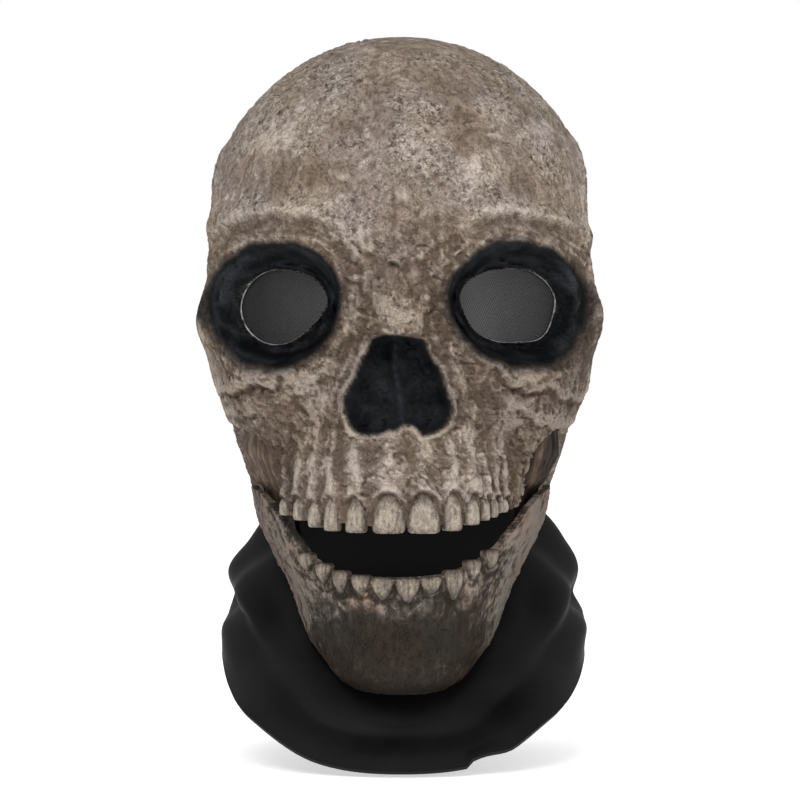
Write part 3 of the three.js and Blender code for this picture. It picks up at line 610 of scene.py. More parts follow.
# How the bone paint adds up its layers, where its masks begin and end, and its coats in turn.
BONE_SUMS = {
    "bias": {"pale": 0.15, "lift": 0.14, "patch": 0.32},
    "rough": {"pale": 1.0, "patch": 2.0},
    "swing": {"plain": 0.3, "rough": 0.7},
    "veined": {"plain": 1.0, "speck": -1.0},
    "tone": {"swing": 1.0, "veined": 0.8, "bias": 1.0},
    "crumbs": {"fine": 1.0, "bias": 0.5},
    "pits": {"fine": 1.0, "bias": 0.25},
    "ragged": {"crust": 1.0, "flecks": 0.6, "fine": 0.4},
    "raised": {"tone": 0.6, "crumbs": 0.6, "pits": -1.0, "crusted": 0.4, "lines": -0.5, "grain": 0.3},
    "gloss": {"plain": 0.7, "black": -0.2, "grain": 0.2},
    "speckle": {"plain": 0.5, "grain": 1.0},
}
BONE_MASKS = {
    "rough": (-0.35, 0.2), "tone": (-0.23, 0.23), "crumbs": (0.03, 0.18), "pits": (-0.03, -0.17),
    "lines": (0.02, 0.0), "crusted": (0.26, 0.86), "outline_in": (0.18, 0.36), "outline_out": (0.5, 0.4),
    "tint": (-0.15, 0.15), "painted_highlight": (0.0, 1.0),
}
BONE_STEPS = ((0.0, "coat_dark"), (0.35, "coat"), (0.68, "dry_dark"), (1.0, "dry"))
BONE_COATS = (
    ("crumbs", 0.85, "dry"), ("pits", 0.95, "pit"), ("drawn", 1.0, "pit"), ("outline", 0.3, "pit"),
    ("crusted", 0.34, "crust"),
)
SKULL_BRUSH = {"tall": 1.0, "lines": 0.42}
JAW_BRUSH = {"tall": 1.6, "lines": 0.1}
LINING_SUM = {"plain": 0.5, "lining_blotch": 1.0}
CUT_SUM = {"plain": 0.5, "cut_speck": 1.0}
TOOTH_SUM = {"plain": 0.208, "pale": 0.42, "streaks": 1.4, "stains": 1.2, "tooth_speck": 0.8}
MUSCLE_SUM = {"plain": 0.5, "strands": 1.1, "web_blotch": 0.6, "pale": 0.5}
SKIRT_SUM = {"plain": 0.7, "skirt_blotch": 0.8, "pale": 0.6}
SKIRT_GLOSS = {"plain": 0.56, "skirt_blotch": 0.3}

# How a tooth is rounded, narrowed at its root, set into its wall and painted.
TOOTH = {
    "corner": 0.6, "stand_by": 0.5, "uneven": 0.25, "uneven_noise": (0.9, 2), "uneven_shift": 3.0,
    "pale_by": 0.45, "side_dark": 0.55, "tip_dark_from": 0.75, "jaw_seed": 20,
}
UPPER_FORM = {
    "root_power": 2.5, "tip_power": 7.0, "root_width": 0.66, "wide_from": 0.9, "bulge": 0.45,
    "root_stand": 0.4, "tip_stand": 1.5, "thick": 6.0, "tone": 0.0, "tip_dark": 0.3,
}
LOWER_FORM = {
    "root_power": 2.1, "tip_power": 6.0, "root_width": 0.5, "wide_from": 0.95, "bulge": 0.4,
    "root_stand": 0.8, "tip_stand": 1.7, "thick": 5.0, "tone": -0.4, "tip_dark": 0.75,
}

# A white studio with two soft lamps in front, as place, strength and size.
STUDIO = {
    "sky": 0.66,
    "lamps": (("key", (-0.3, -1.7, 1.0), 20.8, 0.9), ("fill", (1.2, -1.5, 0.1), 8.0, 1.2)),
    "target": (0.0, 0.0, -0.15),
    "floor_z": -0.3225,
    "floor_size": 6.0,
    "floor_grey": 0.9,
    "floor_glow": 0.55,
}


def smooth(low, high, value):
    share = np.clip((value - low) / (high - low), 0.0, 1.0)
    return share * share * (3.0 - 2.0 * share)


def hump(*shares):
    return np.exp(-sum(share * share for share in shares))


def lerp(start, end, share):
    return start + (end - start) * share


def columns(names, rows):
    return {name: np.array([row[i] for row in rows], float) for i, name in enumerate(names)}


# How far places lie inside a part of the mask, from 0 to 1.
def zone(name, points):
    axis, start, full = ZONES[name]
    x, y, z = points.T
    return smooth(start, full, {"x": x, "y": y, "z": z, "across": np.abs(x)}[axis])


# Adds layers by the weights of a table, whose rows hold for parts of the mask.
def blend(table, parts, layers):
    total = 0.0
    for part, weights in table.items():
        total = total + parts[part] * sum(weight * layers[name] for name, weight in weights.items())
    return total


# Reads one column of a table at many values of its key, on a smooth curve through its rows.
def curve(table, key, column, wanted):
    turn = 1.0 if table[key][-1] > table[key][0] else -1.0
    keys = table[key] * turn
    values = table[column]
    wanted = np.asarray(wanted, float) * turn
    last = len(keys) - 1
    here = np.clip(np.searchsorted(keys, wanted, side="right") - 1, 0, last - 1)
    before = np.clip(np.arange(last + 1) - 1, 0, last)
    after = np.clip(np.arange(last + 1) + 1, 0, last)
    slopes = (values[after] - values[before]) / (keys[after] - keys[before])
    span = keys[here + 1] - keys[here]
    share = np.clip((wanted - keys[here]) / span, 0.0, 1.0)
    between = lerp(values[here], values[here + 1], share * share * (3.0 - 2.0 * share))
    start = slopes[here] * span * (share**3 - 2.0 * share**2 + share)
    end = slopes[here + 1] * span * (share**3 - share**2)
    return between + start + end


# Points on rounded level rings, at angles from the front.
def ring(half_width, front, back, power, angle, z):
    facing = np.cos(angle) > 0.0
    bend = np.where(facing, power, BACK_POWER)
    across = np.abs(np.sin(angle)) / half_width
    along = np.abs(np.cos(angle)) / np.where(facing, front, back)
    radius = (across**bend + along**bend) ** (-1.0 / bend)
    return np.stack((radius * np.sin(angle), -radius * np.cos(angle), z), axis=1)


def section_ring(sections, angle, z):
    sizes = [curve(sections, "z", name, z) for name in SECTION_COLUMNS[1:]]
    return ring(*sizes, angle, z)


def unit(vectors):
    return vectors / np.maximum(np.linalg.norm(vectors, axis=1, keepdims=True), 1e-12)


# The outward direction of a surface given by an angle and a level.
def outward(surface, angle, level):
    around = surface(angle + STEP, level) - surface(angle - STEP, level)
    down = surface(angle, level + STEP) - surface(angle, np.maximum(level - STEP, STEP / 10.0))
    return unit(np.cross(down, around))


# Soft uneven noise of a given size at many points, from -1 to 1.
def cloud(points, size, octaves, seed, stretch=(1.0, 1.0, 1.0)):
    scaled = points / (size * np.array(stretch)) + seed * SEED_SHIFT
    return np.array([noise.fractal(Vector(point), 1.0, 2.0, octaves) for point in scaled])


# Thin winding ridges, 1 on their crests and 0 away from them.
def veins(points, size, width, seed):
    return hump(cloud(points, size, VEIN_OCTAVES, seed) / width)


# Adds soft patches at places across and up the face.
def patched(x, z, patches):
    table = columns(PATCH_COLUMNS, patches)
    amount = np.zeros_like(x)
    for row in range(len(patches)):
        across = (x - table["x"][row]) / table["half_width"][row]
        upward = (z - table["z"][row]) / table["half_height"][row]
        amount += table["amount"][row] * hump(across, upward)
    return amount


# How far places lie from a path, and how far above it.
def beside_path(x, z, path):
    nearest = np.full_like(x, np.inf)
    above = np.zeros_like(x)
    for (x0, z0), (x1, z1) in zip(path, path[1:]):
        length = (x1 - x0) ** 2 + (z1 - z0) ** 2
        share = np.clip(((x - x0) * (x1 - x0) + (z - z0) * (z1 - z0)) / length, 0.0, 1.0)
        off_x = x - lerp(x0, x1, share)
        off_z = z - lerp(z0, z1, share)
        distance = np.hypot(off_x, off_z)
        above = np.where(distance < nearest, off_z, above)
        nearest = np.minimum(nearest, distance)
    return nearest, above


# The plain skull without features. Level 0 is the crown, 1 the widest level, 2 the bottom.
def skull_base(angle, level):
    sections = columns(SECTION_COLUMNS, SKULL_SECTIONS)
    face_z = lerp(DOME["z"], sections["z"][-1], np.clip(level - 1.0, 0.0, 1.0))
    face = section_ring(sections, angle, face_z)
    turn = np.clip(level, 0.0, 1.0) * math.pi / 2.0
    reach = np.maximum(np.sin(turn), 1e-9)
    dome = ring(
        DOME["half_width"] * reach,
        DOME["front"] * reach ** DOME_FULLNESS["front"],
        DOME["back"] * reach ** DOME_FULLNESS["back"],
        np.full_like(reach, DOME["power"]),
        angle,
        DOME["z"] + DOME["height"] * np.cos(turn),
    )
    return np.where((level < 1.0)[:, None], dome, face)


# Angles in degrees, counted from the first angle of the rim tables.
def turn_degrees(upward, across):
    return (np.degrees(np.arctan2(upward, across)) - FIRST_DEGREE) % 360.0 + FIRST_DEGREE


# How near places are to a socket's rim, which is 1.
def socket_rim(socket, base, grow=0.0):
    across = (base[:, 0] - socket["x"]) / (socket["half_width"] + grow)
    upward = (base[:, 2] - socket["z"]) / (socket["half_height"] + grow)
    outline = columns(RIM_COLUMNS, RIM_OUTLINES[socket["side"]])
    return np.hypot(across, upward) / curve(outline, "angle", "share", turn_degrees(upward, across))


# How far a socket sinks the face towards its floor, and how near places land to the floor's edge.
def socket_sink(socket, base, way, grow):
    floor_y = socket["floor_y"] + grow + socket["slope"] * (socket["eye_x"] - base[:, 0])
    slant = np.minimum(way[:, 1] + socket["slope"] * way[:, 0], LEAST_SLANT)
    reach = np.minimum((floor_y - base[:, 1]) / slant, LEAST_SINK)
    landing = base + way * reach[:, None]
    floor = np.hypot(
        (landing[:, 0] - socket["eye_x"]) / (socket["eye_half_width"] + SOCKET_MARGIN + grow),
        (landing[:, 2] - socket["eye_z"]) / (socket["eye_half_height"] + SOCKET_MARGIN + grow),
    )
    inside = np.clip(1.0 - socket_rim(socket, base, grow), 0.0, 1.0)
    share = inside / (inside + np.maximum(floor - 1.0, 0.0) + TINY)
    return reach * smooth(0.0, 1.0, share), floor


# How deep a place lies inside the nose opening's outline, below zero outside it.
def nose_inside(x, z):
    sides = columns(NOSE_COLUMNS, NOSE_SIDES)
    across = np.abs(x - NOSE["x"])
    top_z = NOSE["top_z"] - NOSE["top_arch"] * across**2
    upper = np.minimum(curve(sides, "z", "half_width", z) - across, top_z - z)
    upper = np.minimum(upper, z - NOSE["lobe_z"])
    lobe = NOSE["lobe_radius"] - np.hypot(across - NOSE["lobe_x"], z - NOSE["lobe_z"])
    middle = NOSE["middle_radius"] - np.hypot(across, z - NOSE["middle_z"])
    notch = np.hypot(x - NOSE["notch_x"], z - NOSE["notch_z"]) - NOSE["notch_radius"]
    inside = np.minimum(np.maximum(np.maximum(upper, lobe), middle), notch)
    waves = np.sin(z / NOSE["wave_z"]) * np.sin(x / NOSE["wave_x"] + 1.0)
    return inside + NOSE["uneven"] * waves


def bridge_half_width(z):
    return lerp(BRIDGE["ridge_top"], BRIDGE["ridge_foot"], smooth(BRIDGE["top_z"], BRIDGE["end_z"], z))


def nose_form(base, way, grow):
    x, y, z = base.T
    rise = smooth(BRIDGE["top_z"], BRIDGE["full_z"], z) * smooth(BRIDGE["drop_z"], BRIDGE["end_z"], z)
    ridge = BRIDGE["ridge"] * hump((x / bridge_half_width(z)) ** 2)
    bridge = rise * (BRIDGE["height"] * hump(x / BRIDGE["half_width"]) + ridge)
    reach = np.minimum((NOSE["floor_y"] + grow - y) / np.minimum(way[:, 1], LEAST_SLANT), 0.0)
    share = smooth(0.0, NOSE["edge"], nose_inside(x, z) + grow)
    bend = NOSE["septum_bend"] * np.sin((z - NOSE["top_z"]) / NOSE["bend_length"])
    septum = NOSE["septum"] * hump((x - NOSE["x"] - bend) / NOSE["septum_half_width"])
    return bridge * (1.0 - share) + (reach + septum) * share


# How near places are to a temple's edge, which is 1, and which of them are on its side.
def temple_edge(temple, base):
    x, y, z = base.T
    edge = np.hypot((y - temple["y"]) / temple["half_length"], (z - temple["z"]) / temple["half_height"])
    return edge, temple["side"] * x > 0.0


def side_form(base):
    y = base[:, 1]
    along = smooth(ARCH["from_y"], ARCH["full_y"], y) * (1.0 - smooth(ARCH["fade_y"], ARCH["end_y"], y))
    height = ARCH["height"] * along * hump((base[:, 2] - ARCH["z"]) / ARCH["half_height"])
    for temple in TEMPLES:
        edge, here = temple_edge(temple, base)
        sunk = temple["depth"] * smooth(1.0, 1.0 - TEMPLE_LINE["slope"], edge)
        line = TEMPLE_LINE["height"] * hump((edge - 1.0) / TEMPLE_LINE["spread"])
        height += here * (line - sunk)
    return height


# How far the main features stand out from the plain skull.
def skull_form(base, way, grow):
    x, _, z = base.T
    across = np.abs(x)
    cheek = CHEEKBONE["height"] * hump(
        (across - CHEEKBONE["x"]) / CHEEKBONE["half_width"],
        (z - CHEEKBONE["z"]) / CHEEKBONE["half_height"],
    )
    hollow = CHEEK_HOLLOW["depth"] * hump(
        (across - CHEEK_HOLLOW["x"]) / CHEEK_HOLLOW["half_width"],
        (z - CHEEK_HOLLOW["z"]) / CHEEK_HOLLOW["half_height"],
    )
    gum = GUM["height"] * smooth(GUM["top_z"], GUM["full_z"], z)
    gum = gum * (1.0 - smooth(GUM["fade_x"], GUM["end_x"], across))
    glabella = GLABELLA["height"] * hump(
        x / GLABELLA["half_width"], (z - GLABELLA["z"]) / GLABELLA["half_height"]
    )
    height = cheek - hollow + gum + glabella + nose_form(base, way, grow)
    for socket in SOCKETS:
        rim = socket_rim(socket, base)
        height += socket_sink(socket, base, way, grow)[0]
        height += SOCKET_RIM["height"] * hump((rim - SOCKET_RIM["at"]) / SOCKET_RIM["spread"])
        height += BROW["height"] * over_socket(socket, z) * hump((rim - BROW["at"]) / BROW["spread"])
    return height * zone("facing", base) + side_form(base)


def over_socket(socket, z):
    return smooth(BROW["from_rise"], BROW["to_rise"], (z - socket["z"]) / socket["half_height"])


# The direction in which features stand out, turned towards the front on the face.
def skull_way(base, angle, level):
    normal = outward(skull_base, angle, level)
    normal[level < STEP] = (0.0, 0.0, 1.0)
    facing = zone("facing", base) * smooth(FRONT_TURN["from_level"], FRONT_TURN["full_level"], level)
    way = unit(lerp(normal, np.array((0.0, -1.0, 0.0)), FRONT_TURN["share"] * facing[:, None]))
    return way, np.clip(np.sum(way * normal, axis=1), FRONT_TURN["least_facing"], 1.0)


def skull_surface(angle, level):
    base = skull_base(angle, level)
    way = skull_way(base, angle, level)[0]
    return base + way * skull_form(base, way, 0.0)[:, None]


# Angles and points along one level of a wall, from side to side.
def wall_row(place, level):
    angles = np.linspace(-math.pi / 2.0, math.pi / 2.0, ROW_POINTS)
    return angles, place(angles, np.full_like(angles, level))


# Length along a row of teeth from its middle, for places across the face.
def along_row(place, level, x):
    points = wall_row(place, level)[1]
    lengths = np.concatenate(((0.0,), np.cumsum(np.linalg.norm(np.diff(points, axis=0), axis=1))))
    return np.interp(x, points[:, 0], lengths) - np.interp(0.0, points[:, 0], lengths)


# Root ridges above the upper teeth, the scalloped gum edge and the wall set back below it.
def gum_detail(base, waver):
    z = base[:, 2]
    teeth = columns(TOOTH_COLUMNS, UPPER_TEETH)
    level = skull_level(GUM_EDGE["level_z"])
    along = along_row(skull_base, level, base[:, 0])
    centres = along_row(skull_base, level, teeth["x"])
    edge = np.full_like(z, -np.inf)
    ridge = np.zeros_like(z)
    for centre, width, root in zip(centres, teeth["width"], teeth["root_z"]):
        off = np.abs(along - centre) / (width / 2.0)
        edge = np.maximum(edge, root + GUM_EDGE["rise"] - GUM_EDGE["fall"] * off**2)
        drift = (along - centre + ROOT_RIDGE["drift"] * waver) / (width * ROOT_RIDGE["share"])
        ridge = np.maximum(ridge, hump(drift))
    row = zone("tooth_row", base)
    for centre, side in ((centres[0], -1.0), (centres[-1], 1.0)):
        row = row * smooth(centre + side * GUM_EDGE["row_end"], centre + side * GUM_EDGE["row_full"], along)
    rooted = row * smooth(ROOT_RIDGE["from_z"], ROOT_RIDGE["full_z"], z + ROOT_RIDGE["waver"] * waver)
    roots = rooted * (2.0 * ridge - 1.0)
    ridge = rooted * (ROOT_RIDGE["height"] * ridge - ROOT_RIDGE["hollow"])
    collar = row * GUM_EDGE["collar"] * hump((z - edge - GUM_EDGE["collar_at"]) / GUM_EDGE["collar_spread"])
    below = row * smooth(edge + GUM_EDGE["above"], edge - GUM_EDGE["below"], z)
    return lerp(ridge + collar, -GUM_EDGE["set_back"], below), below, roots + GUM_EDGE["collar_pale"] * collar


def brow_detail(base, waver):
    x, _, z = base.T
    wide = zone("brow_outside", base) * zone("brow_inside", base)
    height = np.zeros_like(x)
    for socket in SOCKETS:
        rim = socket_rim(socket, base) + BROW_CREST["waver"] * waver
        crest = BROW_CREST["height"] * hump((rim - BROW_CREST["at"]) / BROW_CREST["spread"])
        groove = BROW_GROOVE["depth"] * hump((rim - BROW_GROOVE["at"]) / BROW_GROOVE["spread"])
        height += wide * over_socket(socket, z) * (crest - groove)
    line = hump((x - BROW_LINE["x"] - BROW_LINE["waver"] * waver) / BROW_LINE["half_width"])
    for end, fade in (("bottom_z", BROW_LINE["fade"]), ("top_z", -BROW_LINE["fade"])):
        line = line * smooth(BROW_LINE[end] - fade, BROW_LINE[end] + fade, z)
    return height - BROW_LINE["depth"] * line


def nose_rim(base):
    x, _, z = base.T
    below = smooth(NOSE_RIM["below_z"] + NOSE_RIM["fade"], NOSE_RIM["below_z"] - NOSE_RIM["fade"], z)
    return below * hump((nose_inside(x, z) - NOSE_RIM["at"]) / NOSE_RIM["spread"])


# The pale flat wedge at the foot of the nose bridge.
def nose_wedge(base):
    x, _, z = base.T
    half = bridge_half_width(z)
    side = smooth(half + WEDGE_EDGE["outside"], half - WEDGE_EDGE["inside"], np.abs(x))
    return zone("wedge_top", base) * zone("wedge_foot", base) * side


# Strokes of the modelling tool: along the sides of the nose and round the sockets, from -1 to 1.
def tool_strokes(base):
    x, _, z = base.T
    sides = columns(NOSE_COLUMNS, NOSE_SIDES)
    off = np.abs(x - NOSE["x"]) - curve(sides, "z", "half_width", z)
    lanes = np.stack((off, STROKE["shift"] * np.sign(x), z / STROKE["stretch"]), axis=1)
    beside = smooth(STROKE["nose_far"], STROKE["nose_near"], off)
    beside = beside * smooth(-STROKE["nose_edge"], STROKE["nose_edge"], off)
    strokes = beside * cloud(lanes, STROKE["width"], STROKE["octaves"], STROKE["seed"])
    for seed, socket in enumerate(SOCKETS, STROKE["seed"] + 1):
        rim = socket_rim(socket, base)
        turn = np.arctan2(z - socket["z"], x - socket["x"])
        long = socket["half_width"] / STROKE["stretch"]
        rings = np.stack((rim * socket["half_width"], long * np.cos(turn), long * np.sin(turn)), axis=1)
        near = smooth(STROKE["rim_far"], STROKE["rim_near"], rim)
        strokes = lerp(strokes, cloud(rings, STROKE["width"], STROKE["octaves"], seed), near)
    return strokes


# Cracks with raised ledges above them, and the pale paint on the ledges' lips.
def crack_detail(base):
    x = base[:, 0] + CRACK["waver"] * cloud(base, *CRACK["noise_x"])
    z = base[:, 2] + CRACK["waver"] * cloud(base, *CRACK["noise_z"])
    height = np.zeros_like(x)
    pale = np.zeros_like(x)
    for row in CRACKS:
        crack = dict(zip(CRACK_COLUMNS, row))
        distance, above = beside_path(x, z, crack["path"])
        slit = crack["groove"] * hump(distance / CRACK["half_width"])
        ledge = smooth(-CRACK["lip"], CRACK["lip"], above) * np.clip(1.0 - distance / CRACK["fade"], 0.0, 1.0)
        ledge = crack["ledge"] * ledge
        height += ledge - slit
        pale += ledge * hump((distance - CRACK["lip_at"]) / CRACK["lip_spread"]) - slit
    return height, pale


# The seams on the cranium and the ridge above the neck, with the dark paint in the seams.
def back_detail(base):
    x, y, z = base.T
    shift = SEAM["waver"] * cloud(base, *SEAM["noise"])
    behind = zone("behind", base)
    above = zone("crown", base)
    seam = behind * hump(beside_path(x, z + shift, BACK_SEAM)[0] / SEAM["half_width"])
    for path in CROWN_SEAMS:
        seam = np.maximum(seam, above * hump(beside_path(x + shift, y + shift, path)[0] / SEAM["half_width"]))
    sag = z - NECK_RIDGE["z"] - NECK_RIDGE["sag"] * x * x
    ridge = hump(x / NECK_RIDGE["half_width"], sag / NECK_RIDGE["half_height"])
    return NECK_RIDGE["height"] * behind * ridge - SEAM["depth"] * seam, seam


# Painted shade in the temple hollows, strongest just behind their front line, and pale paint along the line.
def temple_detail(base):
    sunk = np.zeros(len(base))
    line = np.zeros(len(base))
    for temple in TEMPLES:
        edge, here = temple_edge(temple, base)
        inner = lerp(TEMPLE_SHADE_AND_LINE["inner"], 1.0, smooth(*TEMPLE_SHADE_AND_LINE["inner_limits"], edge))
        behind = smooth(*TEMPLE_SHADE_AND_LINE["edge"], edge) * inner * zone("temple", base)
        sunk = np.where(here, behind, sunk)
        line = np.where(here, hump((edge - TEMPLE_SHADE_AND_LINE["line_at"]) / TEMPLE_SHADE_AND_LINE["line_spread"]), line)
    return sunk, line


# Black paint in the sockets, painted shade above them under the brows, the pale rim below, the folds inside
# and painted highlights on the black.
def socket_paint(base, way, waver, rounds):
    z = base[:, 2]
    black, brow_shade, rims, folds, painted_highlight = (np.zeros_like(z) for part in range(5))
    for socket in SOCKETS:
        rim = socket_rim(socket, base) + SOCKET_PAINT["waver"] * waver
        upper = smooth(*SOCKET_PAINT["upper"], (z - socket["z"]) / socket["half_height"])
        solid = lerp(SOCKET_PAINT["solid_foot"], SOCKET_PAINT["solid_top"], upper)
        faint = lerp(SOCKET_PAINT["faint_foot"], SOCKET_PAINT["faint_top"], upper)
        black = np.maximum(black, smooth(faint, solid, rim))
        brow_shade += upper * hump((rim - SOCKET_PAINT["brow_shade_at"]) / SOCKET_PAINT["brow_shade_spread"])
        rims += (1.0 - upper) * hump((rim - SOCKET_PAINT["rim_at"]) / SOCKET_PAINT["rim_spread"])
        floor = socket_sink(socket, base, way, 0.0)[1]
        inside = smooth(*SOCKET_PAINT["inside"], rim)
        fold = hump((floor - SOCKET_FOLD["at"] - SOCKET_FOLD["waver"] * waver) / SOCKET_FOLD["spread"])
        fold = fold * smooth(*SOCKET_FOLD["limits"], waver)
        folds += inside * (SOCKET_FOLD["height"] * fold + SOCKET_FOLD["ripple"] * rounds)
        ripple = np.clip(rounds, SOCKET_HIGHLIGHT["least_ripple"], 1.0)
        shine = SOCKET_HIGHLIGHT["fold"] * fold + SOCKET_HIGHLIGHT["ripple"] * ripple + SOCKET_HIGHLIGHT["upper"] * upper
        painted_highlight += inside * (SOCKET_HIGHLIGHT["plain"] + shine)
    return black, brow_shade, rims, folds, painted_highlight


# Black patches on the cheek arches.
def arch_dark_patches(base, waver):
    x, y, z = base.T
    black = np.zeros_like(x)
    for row in ARCH_DARK_PATCHES:
        dark_patch = dict(zip(DARK_PATCH_COLUMNS, row))
        off = ((y - dark_patch["y"]) / dark_patch["half_length"], (z - dark_patch["z"]) / dark_patch["half_height"])
        here = smooth(*DARK_PATCH_EDGE["limits"], hump(*off) + DARK_PATCH_EDGE["waver"] * waver)
        here = here * (dark_patch["side"] * x > DARK_PATCH_EDGE["from_x"])
        black = np.maximum(black, dark_patch["share"] * here)
    return black


# How rough the bone is: smoother in patches, below the eyes and round the sockets.
def bone_speck(base, facing, middle, patch):
    rough = smooth(SKULL_SPECK["low"], SKULL_SPECK["high"], patch)
    speck = lerp(1.0, SKULL_SPECK["below_eyes"], middle) * lerp(SKULL_SPECK["bare"], 1.0, rough)
    for socket in SOCKETS:
        near = facing * smooth(SKULL_SPECK["rim_far"], SKULL_SPECK["rim_near"], socket_rim(socket, base))
        speck = speck * lerp(1.0, SKULL_SPECK["by_socket"], near)
    return speck


# All low relief on the skull, with the paint that goes with it, its painted shade and its painted highlights.
def skull_detail(base, way):
    x, _, z = base.T
    facing = zone("facing", base)
    front = zone("front", base)
    face = facing * zone("below_brow", base)
    middle = facing * zone("below_eyes", base)
    parts = {
        "all": 1.0, "facing": facing, "front": front, "face": face, "middle": middle,
        "front_face": front * face, "front_middle": front * middle,
    }
    layers = {"plain": 1.0}
    layers.update({name: cloud(base, *setting) for name, setting in SKULL_NOISE.items()})
    layers.update({name: veins(base, *setting) for name, setting in SKULL_VEINS.items()})
    waver = layers["waver"]
    layers["pits"] = smooth(*PIT_LIMITS, layers["pits"])
    layers["curls"] = layers["curls"] - CURL_REST
    layers["strokes"] = tool_strokes(base)
    layers["brow"] = brow_detail(base, waver)
    layers["nose_rim"] = nose_rim(base)
    layers["wedge"] = nose_wedge(base)
    # Paler and browner patches, some of them painted shade and painted light.
    layers["patches"] = patched(x, z, FACE_TONE_AND_SHADING)
    layers["left_face"] = zone("left_face", base)
    layers["left_cheek"] = zone("left_cheek", base) * zone("low_cheek", base)
    layers["gum"], layers["below_gum"], layers["roots"] = gum_detail(base, waver)
    layers["cracks"], layers["lips"] = crack_detail(base)
    layers["sunk"], layers["line"] = temple_detail(base)
    layers["back"], layers["seams"] = back_detail(base)
    black, layers["brow_shade"], layers["rims"], folds, painted_highlight = socket_paint(base, way, waver, layers["strokes"])
    speck = bone_speck(base, facing, middle, layers["patch"])
    layers["skin"] = speck * blend(SKIN, parts, layers)
    crust = blend(SKULL_CRUST, parts, layers)
    layers["crusted"] = smooth(*CRUSTED_LIMITS, crust)
    layers["crusty"] = np.clip(crust, *CRUSTY_LIMITS)
    calm = BLACK_EDGE["calm"] * facing * smooth(*BLACK_EDGE["relief"], black)
    height = blend(SKULL_RELIEF, parts, layers) * (1.0 - calm) + facing * folds
    left = zone("left", base)
    in_nose = smooth(0.0, NOSE_PAINT["edge"], nose_inside(x, z) + NOSE_PAINT["ragged"] * layers["crumb"])
    black = np.maximum(facing * np.maximum(black, in_nose), arch_dark_patches(base, waver))
    # Painted shade: black in the hollow of the wearer's left temple.
    black = np.maximum(black, TEMPLE_SHADE_AND_LINE["left_black_shade"] * layers["sunk"] * left)
    # Painted highlights on the black: in the sockets, and in the nose along its folds and its septum.
    septum = hump((x - NOSE["x"]) / NOSE_PAINT["septum_half_width"])
    shine = NOSE_PAINT["painted_highlight"] + NOSE_PAINT["waver"] * waver + NOSE_PAINT["septum"] * septum
    pale = blend(SKULL_PALE, parts, layers)
    pale = lerp(pale, painted_highlight + in_nose * shine, smooth(*BLACK_EDGE["painted_highlight"], black))
    # The shade layer: painted shade under the brows and in the temple hollows, less on the nose wedge and
    # over the tooth roots.
    rooted = zone("tooth_roots", base) * zone("tooth_width", base)
    shade = blend(SKULL_SHADE, parts, layers)
    shade = shade * (1.0 - SHADE_EASE["wedge"] * layers["wedge"]) * (1.0 - SHADE_EASE["roots"] * rooted)
    shade += layers["sunk"] * lerp(TEMPLE_SHADE_AND_LINE["right_shade"], TEMPLE_SHADE_AND_LINE["left_shade"], left)
    lift = np.clip(height / LIFT["skull"], -LIFT["most"], LIFT["most"])
    return height, dict(zip(PAINT_LAYERS, (lift, pale, black, speck, crust, np.clip(shade, 0.0, 1.0))))


def skull_level(z):
    return 1.0 + (DOME["z"] - z) / (DOME["z"] - SKULL_SECTIONS[-1][0])


def jaw_level(z):
    return (JAW_SECTIONS[0][0] - z) / (JAW_SECTIONS[0][0] - JAW_SECTIONS[-1][0])


def jaw_base(angle, level):
    sections = columns(SECTION_COLUMNS, JAW_SECTIONS)
    return section_ring(sections, angle, lerp(sections["z"][0], sections["z"][-1], level))


def jaw_normal(angle, level):
    return outward(jaw_base, angle, np.clip(level, STEP, 1.0 - STEP))


def jaw_surface(angle, level):
    base = jaw_base(angle, level)
    x, _, z = base.T
    chin = CHIN["height"] * hump(x / CHIN["half_width"], (z - CHIN["z"]) / CHIN["half_height"])
    return base + jaw_normal(angle, level) * (chin * zone("chin_front", base))[:, None]


# Lumps over the roots of the lower teeth, and the edges round the teeth.
def jaw_roots(points):
    z = points[:, 2]
    teeth = columns(TOOTH_COLUMNS, LOWER_TEETH)
    level = jaw_level(JAW_ROOTS["level_z"])
    along = along_row(jaw_base, level, points[:, 0])
    centres = along_row(jaw_base, level, teeth["x"])
    roots = np.zeros_like(z)
    edges = np.zeros_like(z)
    for centre, width, root, tip in zip(centres, teeth["width"], teeth["root_z"], teeth["tip_z"]):
        off = (along - centre) / (width / 2.0)
        lump = hump(off / JAW_ROOTS["share"], (z - root + JAW_ROOTS["below"]) / JAW_ROOTS["half_height"])
        around = np.hypot(off, (z - (root + tip) / 2.0) / (tip - root) * 2.0)
        roots = np.maximum(roots, lump)
        edges = np.maximum(edges, hump((around - JAW_ROOTS["edge_at"]) / JAW_ROOTS["edge_spread"]))
    return roots, edges


# Strands on the jaw: upright in front and leaning on its sides.
def jaw_fibres(points, aside):
    x, y, z = points.T
    lean = math.radians(JAW_FIBRES["lean"])
    across = y * math.sin(lean) - z * math.cos(lean)
    down = (y * math.cos(lean) + z * math.sin(lean)) / JAW_FIBRES["stretch"]
    upright = cloud(points, *JAW_FIBRES["noise"], (1.0, 1.0, JAW_FIBRES["stretch"]))
    leaning = cloud(np.stack((x, across, down), axis=1), *JAW_FIBRES["side_noise"])
    return lerp(upright, leaning, aside)


